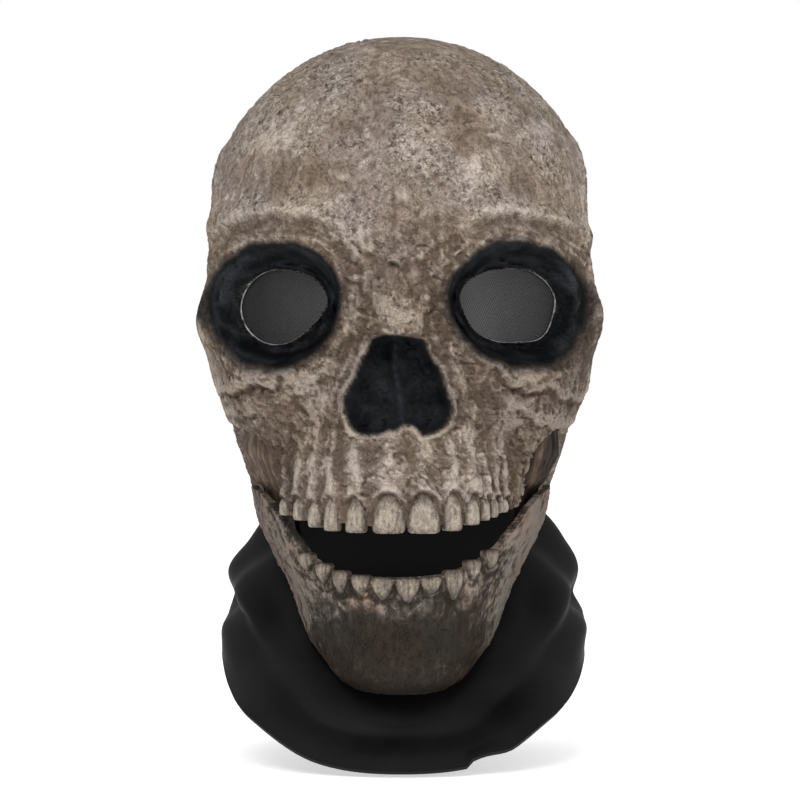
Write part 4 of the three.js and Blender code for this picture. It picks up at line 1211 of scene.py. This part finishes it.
# All low relief on the jaw, with the paint that goes with it.
def jaw_detail(points):
    x, _, z = points.T
    names = ("facing", "upper", "aside", "beside", "chin")
    parts = {"all": 1.0, **{name: zone("jaw_" + name, points) for name in names}}
    parts["upper_aside"] = parts["upper"] * parts["aside"]
    layers = {"plain": 1.0, **{name: cloud(points, *setting) for name, setting in JAW_NOISE.items()}}
    layers["roots"], layers["edges"] = jaw_roots(points)
    layers["fibres"] = jaw_fibres(points, parts["aside"])
    layers["patches"] = patched(x, z, JAW_PATCHES)
    band = smooth(JAW_BAND["from_z"], JAW_BAND["full_z"], z + JAW_BAND["waver"] * layers["patch"])
    layers["band"] = band * zone("jaw_row", points)
    height = blend(JAW_RELIEF, parts, layers)
    speck = JAW_SPECK["front"]
    for name in ("chin", "aside", "beside"):
        speck = lerp(speck, JAW_SPECK[name], parts[name])
    shade = np.maximum(JAW_SHADE["beside"] * parts["beside"], JAW_SHADE["chin"] * parts["chin"])
    lift = np.clip(height / LIFT["jaw"], -LIFT["most"], LIFT["most"])
    paint = (lift, blend(JAW_PALE, parts, layers), np.zeros_like(x), speck, np.full_like(x, JAW_CRUST), shade)
    return height, dict(zip(PAINT_LAYERS, paint))


def web_base(angle, level):
    sections = columns(SECTION_COLUMNS, WEB_SECTIONS)
    return section_ring(sections, angle, lerp(WEB["top_z"], WEB["bottom_z"], level))


def web_surface(angle, level):
    turn = np.degrees(np.abs(angle))
    tuck = WEB_TUCK["depth"] * smooth(WEB_TUCK["from_angle"], WEB_TUCK["to_angle"], turn)
    normal = outward(web_base, angle, level)
    points = web_base(angle, level) - normal * tuck[:, None]
    strands = WEB_RELIEF["height"] * cloud(points, *WEB_RELIEF["noise"])
    return points + normal * strands[:, None]


def skirt_surface(angle, level):
    turn = np.degrees(np.abs(angle))
    edges = columns(SKIRT_COLUMNS, SKIRT_EDGES)
    folds = columns(FOLD_COLUMNS, SKIRT_FOLDS)
    row = {name: curve(edges, "angle", name, turn) for name in SKIRT_COLUMNS[1:]}
    share = np.clip((level - SKIRT_TUCK) / (1.0 - SKIRT_TUCK), 0.0, 1.0)
    tucked = np.clip(level / SKIRT_TUCK, 0.0, 1.0)
    side = smooth(SKIRT_FRONT["full_angle"], SKIRT_FRONT["end_angle"], turn)
    stand = lerp(curve(folds, "share", "front", share), curve(folds, "share", "side", share), side)
    free = level > SKIRT_TUCK
    radius = np.where(
        free,
        lerp(row["clear_radius"], row["hem_radius"], share) + stand,
        lerp(row["top_radius"], row["clear_radius"], tucked),
    )
    z = np.where(free, lerp(row["clear_z"], row["hem_z"], share), lerp(row["top_z"], row["clear_z"], tucked))
    wide = np.degrees(angle)
    step = smooth(SKIRT_STEP["from_angle"], SKIRT_STEP["full_angle"], wide)
    step = step * smooth(SKIRT_STEP["end_angle"], SKIRT_STEP["fade_angle"], wide)
    z += SKIRT_STEP["rise"] * step * smooth(SKIRT_STEP["from_share"], 1.0, share)
    hang = columns(HANG_COLUMNS, SKIRT_HANG)
    spread = np.where(angle > 0.0, curve(hang, "z", "left", z), curve(hang, "z", "right", z))
    radius = radius - patched(radius * np.sin(angle), z, SKIRT_HOLLOWS) * (np.cos(angle) > HOLLOW_LIMIT)
    return np.stack((spread * radius * np.sin(angle), -radius * np.cos(angle), z), axis=1)


def new_mesh(name, make):
    shape = bmesh.new()
    make(shape)
    mesh = bpy.data.meshes.new(name)
    shape.to_mesh(mesh)
    shape.free()
    return mesh


def read_points(mesh):
    flat = np.empty(len(mesh.vertices) * 3)
    mesh.vertices.foreach_get("co", flat)
    return flat.reshape(-1, 3)


def write_points(mesh, points):
    mesh.vertices.foreach_set("co", np.ascontiguousarray(points * MM, float).ravel())
    mesh.update()


def write_paint(mesh, paint):
    for name, values in paint.items():
        layer = mesh.attributes.new(name, "FLOAT", "POINT")
        layer.data.foreach_set("value", np.ascontiguousarray(values, float))


def new_piece(name, mesh, material):
    mesh.materials.append(material)
    piece = bpy.data.objects.new(name, mesh)
    bpy.context.scene.collection.objects.link(piece)
    return piece


# Replaces a piece's mesh by the mesh that its modifiers give.
def settle(piece):
    graph = bpy.context.evaluated_depsgraph_get()
    mesh = bpy.data.meshes.new_from_object(piece.evaluated_get(graph))
    piece.modifiers.clear()
    piece.data = mesh
    return piece


# Joins or cuts a piece with another body, which is used up.
def carve(piece, tool, operation):
    boolean = piece.modifiers.new("carve", "BOOLEAN")
    boolean.solver = "MANIFOLD"
    boolean.operation = operation
    boolean.material_mode = "TRANSFER"
    boolean.object = tool
    settle(piece)
    bpy.data.objects.remove(tool)
    return piece


def face_outwards(piece):
    shape = bmesh.new()
    shape.from_mesh(piece.data)
    bmesh.ops.recalc_face_normals(shape, faces=shape.faces)
    shape.to_mesh(piece.data)
    shape.free()
    return piece


# Gives the new points along cut edges the paint of their painted neighbours.
def mend_paint(piece):
    shape = bmesh.new()
    shape.from_mesh(piece.data)
    kept = shape.verts.layers.float["kept"]
    layers = [shape.verts.layers.float[name] for name in PAINT_LAYERS]
    bare = [vert for vert in shape.verts if vert[kept] == 0.0]
    for vert in bare:
        painted = [edge.other_vert(vert) for edge in vert.link_edges]
        painted = [near for near in painted if near[kept] > UNPAINTED]
        for layer in layers:
            vert[layer] = sum(near[layer] for near in painted) / max(len(painted), 1)
    shape.to_mesh(piece.data)
    shape.free()
    return piece


# A closed ball whose points are moved onto the skull: angles round it and levels down it.
def skull_ball(name, grid):
    mesh = new_mesh(
        name,
        lambda shape: bmesh.ops.create_uvsphere(
            shape, u_segments=grid["columns"], v_segments=grid["rows"], radius=1.0
        ),
    )
    ball = read_points(mesh)
    turn = np.arctan2(ball[:, 0], -ball[:, 1]) / math.pi
    angle = math.pi * ((1.0 - grid["crowding"]) * turn + grid["crowding"] * turn**3)
    drop = np.arccos(np.clip(ball[:, 2], -1.0, 1.0)) / math.pi
    dome = drop / grid["dome_share"]
    face = 1.0 + (drop - grid["dome_share"]) / (1.0 - grid["dome_share"] - grid["foot_share"])
    level = np.where(dome < 1.0, dome, face)
    closing = np.clip((level - 2.0) / max(level.max() - 2.0, 1e-9), 0.0, 1.0)
    return mesh, angle, np.minimum(level, 2.0), closing


def skull_outside(material):
    mesh, angle, level, closing = skull_ball("skull", SKULL_MESH)
    base = skull_base(angle, level)
    way = skull_way(base, angle, level)[0]
    detail, paint = skull_detail(base, way)
    points = base + way * (skull_form(base, way, 0.0) + detail)[:, None]
    points[:, :2] *= (1.0 - closing)[:, None]
    write_points(mesh, points)
    write_paint(mesh, {**paint, "kept": np.full_like(angle, PAINTED)})
    return face_outwards(new_piece("skull", mesh, material))


def skull_lining(material):
    mesh, angle, level, closing = skull_ball("lining", LINING_MESH)
    base = skull_base(angle, level)
    way, facing = skull_way(base, angle, level)
    points = base + way * (skull_form(base, way, LINING_DEPTH) - LINING_DEPTH / facing)[:, None]
    points[:, :2] *= (1.0 - closing)[:, None]
    write_points(mesh, points)
    write_paint(mesh, {"kept": np.full_like(angle, UNPAINTED)})
    return face_outwards(new_piece("lining", mesh, material))


# A side outline carried across the whole width.
def across_width(name, outline, material):
    def make(shape):
        corners = [shape.verts.new((-SIDE_REACH * MM, y * MM, z * MM)) for y, z in outline]
        shape.faces.new(corners)
        bmesh.ops.bevel(
            shape, geom=corners, offset=OUTLINE_ROUND["radius"] * MM, segments=OUTLINE_ROUND["segments"],
            profile=0.5, affect="VERTICES", clamp_overlap=True, material=-1,
        )
        pulled = bmesh.ops.extrude_face_region(shape, geom=shape.faces[:])
        moved = [item for item in pulled["geom"] if isinstance(item, bmesh.types.BMVert)]
        bmesh.ops.translate(shape, verts=moved, vec=(2.0 * SIDE_REACH * MM, 0.0, 0.0))
        bmesh.ops.recalc_face_normals(shape, faces=shape.faces)

    mesh = new_mesh(name, make)
    write_paint(mesh, {"kept": np.full(len(mesh.vertices), UNPAINTED)})
    return new_piece(name, mesh, material)


# Places on a socket's floor plane, from places across and up it and a distance behind it.
def on_socket_floor(socket, across, upward, behind):
    x = socket["eye_x"] + across
    z = socket["eye_z"] + upward
    y = socket["floor_y"] + socket["slope"] * (socket["eye_x"] - x) + behind
    return np.stack((x, y, z), axis=1)


def eye_reach(socket, angle):
    outline = columns(OUTLINE_COLUMNS, EYE_OUTLINES[socket["side"]])
    return curve(outline, "angle", "reach", turn_degrees(np.sin(angle), np.cos(angle)))


# The opening in a socket's floor, as a body that runs through the floor.
def eye_cutter(socket, material):
    mesh = new_mesh(
        "eye_cutter",
        lambda shape: bmesh.ops.create_cone(
            shape, cap_ends=True, segments=EYE_CUTTER["segments"], radius1=1.0, radius2=1.0, depth=1.0
        ),
    )
    drum = read_points(mesh)
    angle = np.arctan2(drum[:, 1], drum[:, 0])
    reach = eye_reach(socket, angle)
    behind = -drum[:, 2] * EYE_CUTTER["depth"]
    write_points(mesh, on_socket_floor(socket, reach * np.cos(angle), reach * np.sin(angle), behind))
    write_paint(mesh, {"kept": np.full_like(angle, UNPAINTED)})
    return face_outwards(new_piece("eye_cutter", mesh, material))


# The angle at which a wall has a wanted place across, at one level.
def angle_across(place, level, x):
    angles, points = wall_row(place, level)
    return float(np.interp(x, points[:, 0], angles))


def tooth_block(shape):
    bmesh.ops.create_cube(shape, size=2.0)
    bmesh.ops.subdivide_edges(shape, edges=shape.edges, cuts=TOOTH_CUTS, use_grid_fill=True)


# A tooth set into a wall. Along it, share 0 is the root and 1 the biting end.
def tooth_body(row, place, level, form, material, seed):
    tooth = dict(zip(TOOTH_COLUMNS, row))
    mesh = new_mesh("tooth", tooth_block)
    block = read_points(mesh)
    across = np.maximum(np.abs(block[:, 0]), TINY)
    up = np.abs(block[:, 2])
    reach = np.maximum(across, up)
    towards_tip = smooth(-TOOTH["corner"], TOOTH["corner"], block[:, 2])
    power = lerp(form["root_power"], form["tip_power"], towards_tip)
    rounding = reach / (across**power + up**power) ** (1.0 / power)
    share = (block[:, 2] * rounding + 1.0) / 2.0
    wide = lerp(form["root_width"], 1.0, smooth(0.0, form["wide_from"], share)) * tooth["width"] / 2.0
    bulge = 1.0 - form["bulge"] * reach**4
    stand = lerp(form["root_stand"], form["tip_stand"], smooth(0.0, TOOTH["stand_by"], share))
    uneven = TOOTH["uneven"] * cloud(block + seed * TOOTH["uneven_shift"], *TOOTH["uneven_noise"], seed)
    depth = form["thick"] / 2.0
    deep = block[:, 1] * depth * bulge + depth - stand + uneven
    middle = level((tooth["tip_z"] + tooth["root_z"]) / 2.0)
    angle = angle_across(place, middle, tooth["x"])
    spots = place(np.array((angle - STEP, angle, angle + STEP)), np.full(3, middle))
    along = unit((spots[2] - spots[0])[None])[0]
    inward = np.array((-along[1], along[0], 0.0))
    points = spots[1] + along * (block[:, 0] * wide * rounding)[:, None] + inward * deep[:, None]
    points[:, 2] = lerp(tooth["root_z"], tooth["tip_z"], share)
    write_points(mesh, points)
    # The biting ends are darker, most on the lower teeth.
    tip_dark = form["tip_dark"] * smooth(TOOTH["tip_dark_from"], 1.0, share)
    pale = form["tone"] + smooth(0.0, TOOTH["pale_by"], share) - TOOTH["side_dark"] * across**3 - tip_dark
    write_paint(mesh, {"pale": pale, "kept": np.full_like(share, PAINTED)})
    return face_outwards(new_piece("tooth", mesh, material))


# A flat grid whose points are moved onto a surface, given a wall behind it.
def sheet_piece(name, grid, points_at, angles, wall, material, crowding=0.0, whole_turn=False):
    mesh = new_mesh(
        name,
        lambda shape: bmesh.ops.create_grid(
            shape, x_segments=grid["columns"], y_segments=grid["rows"], size=1.0
        ),
    )
    flat = read_points(mesh)
    turn = (1.0 - crowding) * flat[:, 0] + crowding * flat[:, 0] ** 3
    angle = lerp(angles[0], angles[1], (turn + 1.0) / 2.0)
    points, paint = points_at(angle, (1.0 - flat[:, 1]) / 2.0)
    write_points(mesh, points)
    write_paint(mesh, {**paint, "kept": np.full_like(angle, PAINTED)})
    shape = bmesh.new()
    shape.from_mesh(mesh)
    if whole_turn:
        bmesh.ops.remove_doubles(shape, verts=shape.verts, dist=TINY)
    bmesh.ops.recalc_face_normals(shape, faces=shape.faces)
    shape.to_mesh(mesh)
    shape.free()
    piece = new_piece(name, mesh, material)
    thicken = piece.modifiers.new("wall", "SOLIDIFY")
    thicken.thickness = wall * MM
    thicken.offset = -1.0
    return settle(piece)


def make_skull(bone, enamel, lining):
    piece = skull_outside(bone)
    carve(piece, skull_lining(lining), "DIFFERENCE")
    carve(piece, across_width("skull_edge", SKULL_EDGE, bone), "DIFFERENCE")
    for socket in SOCKETS:
        carve(piece, eye_cutter(socket, lining), "DIFFERENCE")
    for seed, row in enumerate(UPPER_TEETH):
        carve(piece, tooth_body(row, skull_surface, skull_level, UPPER_FORM, enamel, seed), "UNION")
    return mend_paint(piece)


def jaw_points(angle, level):
    points = jaw_surface(angle, level)
    detail, paint = jaw_detail(points)
    return points + jaw_normal(angle, level) * detail[:, None], paint


# Lets the jaw's upper edge sag in front, most to the wearer's right.
def sag_rim(piece):
    points = read_points(piece.data) / MM
    x, _, z = points.T
    drop = RIM_SAG["middle"] + RIM_SAG["right"] * hump((x - RIM_SAG["right_x"]) / RIM_SAG["half_width"])
    drop = drop * smooth(RIM_SAG["foot_z"], RIM_SAG["top_z"], z) * zone("jaw_rim", points)
    x *= 1.0 - RIM_SAG["narrowing"] * drop
    z -= drop
    write_points(piece.data, points)


def make_jaw(bone, enamel):
    piece = sheet_piece("jaw", JAW_MESH, jaw_points, WHOLE_TURN, JAW_WALL, bone, JAW_MESH["crowding"], True)
    carve(piece, across_width("jaw_edge", JAW_EDGE, bone), "INTERSECT")
    sag_rim(piece)
    for seed, row in enumerate(LOWER_TEETH, TOOTH["jaw_seed"]):
        carve(piece, tooth_body(row, jaw_surface, jaw_level, LOWER_FORM, enamel, seed), "UNION")
    return mend_paint(piece)


def web_points(angle, level):
    points = web_surface(angle, level)
    distance = beside_path(points[:, 0], points[:, 2], WEB_STRAND)[0]
    left = WEB_PAINT["left"] + WEB_PAINT["strand"] * hump(distance / WEB_PAINT["half_width"])
    return points, {"pale": np.where(points[:, 0] > 0.0, left, WEB_PAINT["right"])}


def make_web(side, material):
    limits = [side * math.radians(WEB[name]) for name in ("from_angle", "to_angle")]
    name = "web_left" if side > 0 else "web_right"
    return sheet_piece(name, WEB_MESH, web_points, limits, WEB_WALL, material)


def skirt_points(angle, level):
    points = skirt_surface(angle, level)
    # Painted shade in the hollows.
    hollow = patched(points[:, 0], points[:, 2], SKIRT_HOLLOWS) * (points[:, 1] < 0.0)
    return points, {"pale": HOLLOW_SHADE * hollow}


def make_skirt(material):
    return sheet_piece("skirt", SKIRT_MESH, skirt_points, WHOLE_TURN, SKIRT_WALL, material, whole_turn=True)


# A net of crossing wires that fills an opening just behind the socket's floor.
def make_net(socket, material):
    half = max(row[1] for row in EYE_OUTLINES[socket["side"]]) + NET["pitch"]
    count = int(2.0 * half / NET["pitch"])

    def make(shape):
        turn = Matrix.Rotation(math.radians(NET["turn"]), 4, "Z")
        bmesh.ops.create_grid(shape, x_segments=count, y_segments=count, size=half, matrix=turn)
        outside = []
        for vert in shape.verts:
            reach = eye_reach(socket, np.array((math.atan2(vert.co.y, vert.co.x),)))[0]
            if math.hypot(vert.co.x, vert.co.y) > reach + NET["overlap"]:
                outside.append(vert)
        bmesh.ops.delete(shape, geom=outside, context="VERTS")

    mesh = new_mesh("net", make)
    flat = read_points(mesh)
    write_points(mesh, on_socket_floor(socket, flat[:, 0], flat[:, 1], np.full(len(flat), NET["set_back"])))
    piece = new_piece("net_" + socket["side"], mesh, material)
    wires = piece.modifiers.new("wires", "WIREFRAME")
    wires.thickness = NET["wire"] * MM
    wires.use_even_offset = False
    return settle(piece)


# The thin pale edge where an opening was cut by hand.
def make_cut_edge(socket, material):
    angle = np.linspace(0.0, 2.0 * math.pi, CUT_EDGE["points"], endpoint=False)
    reach = eye_reach(socket, angle)
    behind = np.full_like(angle, CUT_EDGE["behind"])
    route = on_socket_floor(socket, reach * np.cos(angle), reach * np.sin(angle), behind)
    outer = -1.0 if socket["side"] == "right" else 1.0
    thick = CUT_EDGE["plain"] + CUT_EDGE["outer"] * outer * np.cos(angle) + CUT_EDGE["upper"] * np.sin(angle)
    thick = thick + CUT_EDGE["uneven"] * cloud(route, *CUT_EDGE["noise"])
    thick = np.clip(thick, CUT_EDGE["thinnest"], CUT_EDGE["thickest"])
    thread = bpy.data.curves.new("cut_edge", "CURVE")
    thread.dimensions = "3D"
    thread.bevel_depth = CUT_EDGE["radius"] * MM
    thread.bevel_resolution = CUT_EDGE["round_steps"]
    spline = thread.splines.new("POLY")
    spline.points.add(len(route) - 1)
    spline.use_cyclic_u = True
    for point, place, share in zip(spline.points, route, thick):
        point.co = (*(place * MM), 1.0)
        point.radius = share
    source = bpy.data.objects.new("cut_edge_thread", thread)
    bpy.context.scene.collection.objects.link(source)
    mesh = bpy.data.meshes.new_from_object(source.evaluated_get(bpy.context.evaluated_depsgraph_get()))
    bpy.data.objects.remove(source)
    return new_piece("cut_edge_" + socket["side"], mesh, material)


# Adds a node to a material, with its settings and the values or links of its inputs.
def add(tree, kind, inputs=None, **settings):
    made = tree.nodes.new("ShaderNode" + kind)
    for name, value in settings.items():
        setattr(made, name, value)
    for name, value in (inputs or {}).items():
        socket = made.inputs[name]
        if isinstance(value, bpy.types.NodeSocket):
            tree.links.new(value, socket)
        else:
            socket.default_value = value
    return made


def new_material(name, finish):
    material = bpy.data.materials.new(name)
    material.use_nodes = True
    shader = material.node_tree.nodes["Principled BSDF"]
    roughness, specular = FINISHES[finish]
    shader.inputs["Roughness"].default_value = roughness
    shader.inputs["Specular IOR Level"].default_value = specular
    return material, material.node_tree, shader


def math_node(tree, operation, *values):
    return add(tree, "Math", dict(enumerate(values)), operation=operation).outputs[0]


# Noise from -0.5 to 0.5, fixed to the piece.
def place_noise(tree, name, tall=1.0):
    setting = dict(zip(NOISE_COLUMNS, PAINT_NOISE[name]))
    place = add(tree, "TexCoord").outputs["Object"]
    scale = 1.0 / (setting["size"] * MM)
    stretch = {"Vector": place, "Scale": (scale, scale, scale / (setting["tall"] * tall))}
    spread = add(tree, "Mapping", stretch).outputs["Vector"]
    limits = {"Detail": setting["detail"], "Roughness": setting["roughness"], "Distortion": setting["twist"]}
    cells = add(tree, "TexNoise", {"Vector": spread, "Scale": 1.0, **limits})
    return math_node(tree, "SUBTRACT", cells.outputs["Fac"], 0.5)


def layer(tree, name):
    return add(tree, "Attribute", attribute_name=name).outputs["Fac"]


# Adds up the values of a paint by the weights of a table, where plain is a fixed amount.
def weigh(tree, weights, values):
    total = weights.get("plain", 0.0)
    for name, weight in weights.items():
        if name != "plain":
            total = math_node(tree, "MULTIPLY_ADD", values[name], weight, total)
    return total


def ramp(tree, value, stops):
    made = add(tree, "ValToRGB", {"Fac": value})
    line = made.color_ramp.elements
    while len(line) < len(stops):
        line.new(0.5)
    for element, (place, colour) in zip(line, stops):
        element.position = place
        element.color = paint(colour)
    return made.outputs["Color"]


def mix(tree, share, first, second, kind="MIX"):
    return add(tree, "Mix", {0: share, 6: first, 7: second}, data_type="RGBA", blend_type=kind).outputs[2]


# Turns a value into a share that goes from 0 at one limit to 1 at the other.
def share_between(tree, value, low, high):
    limits = {"Value": value, "From Min": low, "From Max": high}
    return add(tree, "MapRange", limits, interpolation_type="SMOOTHSTEP").outputs["Result"]


def add_bumps(tree, shader, height, finish):
    depth, strength = BUMPS[finish]
    bump = add(tree, "Bump", {"Height": height, "Distance": depth * MM, "Strength": strength})
    tree.links.new(bump.outputs["Normal"], shader.inputs["Normal"])


def paint(colour):
    return (*colour, 1.0)


# Dry-brushed bone: a brown coat, pale crumbs and crusts on what stands out, dark pits and black hollows with
# painted highlights, darkened by the shade layer, which holds painted shade.
def bone_paint(name, colours, brush):
    material, tree, shader = new_material(name, "bone")
    made = {part: layer(tree, part) for part in PAINT_LAYERS}
    made.update({part: place_noise(tree, part) for part in ("patch", "tint", "grain")})
    brushed = ("flecks", "fine", "marble", "winding")
    made.update({part: place_noise(tree, part, brush["tall"]) for part in brushed})

    def summed(part):
        return weigh(tree, BONE_SUMS[part], made)

    def masked(part, value):
        return share_between(tree, value, *BONE_MASKS[part])

    def product(first, second):
        return math_node(tree, "MULTIPLY", first, second)

    made["bias"] = summed("bias")
    made["rough"] = product(masked("rough", summed("rough")), made["speck"])
    made["swing"] = product(made["flecks"], summed("swing"))
    made["veined"] = product(made["marble"], summed("veined"))
    made["tone"] = masked("tone", summed("tone"))
    for part in ("crumbs", "pits"):
        made[part] = product(masked(part, summed(part)), made["rough"])
    made["lines"] = masked("lines", math_node(tree, "ABSOLUTE", made["winding"]))
    made["drawn"] = product(made["lines"], brush["lines"])
    ragged = summed("ragged")
    made["crusted"] = masked("crusted", ragged)
    made["outline"] = product(masked("outline_in", ragged), masked("outline_out", ragged))
    bone = ramp(tree, made["tone"], [(place, colours[part]) for place, part in BONE_STEPS])
    for part, strength, colour in BONE_COATS:
        bone = mix(tree, product(made[part], strength), bone, paint(colours[colour]))
    hue = mix(tree, masked("tint", made["tint"]), paint(colours["warm"]), paint(colours["cool"]))
    bone = mix(tree, 1.0, bone, hue, "MULTIPLY")
    bone = mix(tree, made["shade"], bone, paint(SHADE_TINT), "MULTIPLY")
    bone = mix(tree, 1.0, bone, ramp(tree, summed("speckle"), GRAIN_RAMP), "MULTIPLY")
    dark = mix(tree, masked("painted_highlight", made["pale"]), paint(BLACK_PAINT), paint(BLACK_HIGHLIGHT))
    tree.links.new(mix(tree, made["black"], bone, dark), shader.inputs["Base Color"])
    tree.links.new(summed("gloss"), shader.inputs["Roughness"])
    add_bumps(tree, shader, summed("raised"), "bone")
    return material


# A paint coloured by a sum of noise and of the piece's own pale layer.
def summed_paint(name, finish, weights, stops):
    material, tree, shader = new_material(name, finish)
    values = {"pale": layer(tree, "pale")} if "pale" in weights else {}
    values.update({part: place_noise(tree, part) for part in weights if part in PAINT_NOISE})
    tree.links.new(ramp(tree, weigh(tree, weights, values), stops), shader.inputs["Base Color"])
    return material, tree, shader, values


# Stained teeth: darker at the root, with thin streaks down them.
def tooth_paint():
    material, tree, shader, values = summed_paint("tooth_paint", "tooth", TOOTH_SUM, TOOTH_RAMP)
    add_bumps(tree, shader, values["streaks"], "tooth")
    return material


# The inside of the shell is nearly black, as painted shade that keeps the mouth and the neck openings dark
# inside.
def lining_latex():
    return summed_paint("lining_latex", "lining", LINING_SUM, LINING_RAMP)[0]


def muscle_paint():
    material, tree, shader, values = summed_paint("muscle_paint", "muscle", MUSCLE_SUM, MUSCLE_RAMP)
    add_bumps(tree, shader, values["strands"], "muscle")
    return material


# The net's own grey, with painted shade: paler towards the nose, darker outwards.
def net_fibre():
    material, tree, shader = new_material("net_fibre", "net")
    place = add(tree, "TexCoord").outputs["Object"]
    across = add(tree, "SeparateXYZ", {"Vector": place}).outputs["X"]
    off = math_node(tree, "ABSOLUTE", math_node(tree, "SUBTRACT", across, NET_SHADE["middle_x"] * MM))
    limits = {"From Min": NET_SHADE["pale_at"] * MM, "From Max": NET_SHADE["dark_at"] * MM}
    share = add(tree, "MapRange", {"Value": off, **limits}).outputs["Result"]
    tree.links.new(ramp(tree, share, NET_RAMP), shader.inputs["Base Color"])
    return material


def cut_latex():
    return summed_paint("cut_latex", "cut", CUT_SUM, CUT_RAMP)[0]


# Black latex, darker in the skirt's hollows with painted shade.
def black_latex():
    material, tree, shader, values = summed_paint("black_latex", "skirt", SKIRT_SUM, SKIRT_RAMP)
    tree.links.new(weigh(tree, SKIRT_GLOSS, values), shader.inputs["Roughness"])
    add_bumps(tree, shader, place_noise(tree, "skirt_speck"), "skirt")
    return material


def floor_paint():
    material, _, shader = new_material("pale_floor", "floor")
    shader.inputs["Base Color"].default_value = paint((STUDIO["floor_grey"],) * 3)
    shader.inputs["Emission Color"].default_value = (1.0, 1.0, 1.0, 1.0)
    shader.inputs["Emission Strength"].default_value = STUDIO["floor_glow"]
    return material


def finish_piece(piece, node=None):
    for polygon in piece.data.polygons:
        polygon.use_smooth = True
    piece.data.set_sharp_from_angle(angle=math.radians(SHARP_ANGLE))
    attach(piece, "root")
    if node:
        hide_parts(node)


def make_floor():
    def make(shape):
        bmesh.ops.create_grid(shape, x_segments=1, y_segments=1, size=STUDIO["floor_size"])

    mesh = new_mesh("floor", make)
    mesh.transform(Matrix.Translation((0.0, 0.0, STUDIO["floor_z"])))
    new_piece("floor", mesh, floor_paint())


def make_camera():
    lens = bpy.data.cameras.new("camera")
    lens.sensor_width = CAMERA["sensor"]
    lens.lens = CAMERA["sensor"] * CAMERA["distance"] / CAMERA["frame"]
    camera = bpy.data.objects.new("camera", lens)
    camera.location = (CAMERA["across"] * MM, -CAMERA["distance"] * MM, CAMERA["height"] * MM)
    camera.rotation_euler = (math.radians(90.0), 0.0, 0.0)
    bpy.context.scene.collection.objects.link(camera)
    bpy.context.scene.camera = camera


def add_lamp(name, place, target, energy, size):
    light = bpy.data.lights.new(name, "AREA")
    light.energy = energy
    light.size = size
    lamp = bpy.data.objects.new(name, light)
    lamp.location = place
    lamp.rotation_euler = (Vector(place) - Vector(target)).to_track_quat("Z", "Y").to_euler()
    bpy.context.scene.collection.objects.link(lamp)


def make_studio():
    world = bpy.data.worlds.new("studio")
    world.use_nodes = True
    tree = world.node_tree
    seen = add(tree, "LightPath").outputs["Is Camera Ray"]
    limits = {"Value": seen, "To Min": STUDIO["sky"], "To Max": 1.0}
    strength = add(tree, "MapRange", limits).outputs["Result"]
    tree.links.new(strength, tree.nodes["Background"].inputs["Strength"])
    tree.nodes["Background"].inputs["Color"].default_value = (1.0, 1.0, 1.0, 1.0)
    bpy.context.scene.world = world
    bpy.context.scene.view_settings.view_transform = "Standard"
    for name, place, energy, size in STUDIO["lamps"]:
        add_lamp(name, place, STUDIO["target"], energy, size)


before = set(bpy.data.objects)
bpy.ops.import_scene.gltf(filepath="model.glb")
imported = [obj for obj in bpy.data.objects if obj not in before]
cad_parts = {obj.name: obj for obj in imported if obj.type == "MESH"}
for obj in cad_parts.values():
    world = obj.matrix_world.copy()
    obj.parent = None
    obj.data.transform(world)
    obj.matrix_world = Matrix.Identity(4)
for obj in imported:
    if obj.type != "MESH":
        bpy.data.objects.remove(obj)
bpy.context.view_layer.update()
make_camera()
make_studio()
make_floor()
bone = bone_paint("bone_paint", BONE_COLOURS, SKULL_BRUSH)
jaw_bone = bone_paint("jaw_paint", JAW_COLOURS, JAW_BRUSH)
enamel = tooth_paint()
lining = lining_latex()
muscle = muscle_paint()
net = net_fibre()
cut = cut_latex()
finish_piece(make_skull(bone, enamel, lining), "skull_shell")
finish_piece(make_jaw(jaw_bone, enamel), "jaw_shell")
finish_piece(make_web(1.0, muscle), "cheek_web_left")
finish_piece(make_web(-1.0, muscle), "cheek_web_right")
finish_piece(make_skirt(black_latex()), "neck_skirt")
for socket in SOCKETS:
    finish_piece(make_net(socket, net), "eye_mesh_" + socket["side"])
    finish_piece(make_cut_edge(socket, cut))
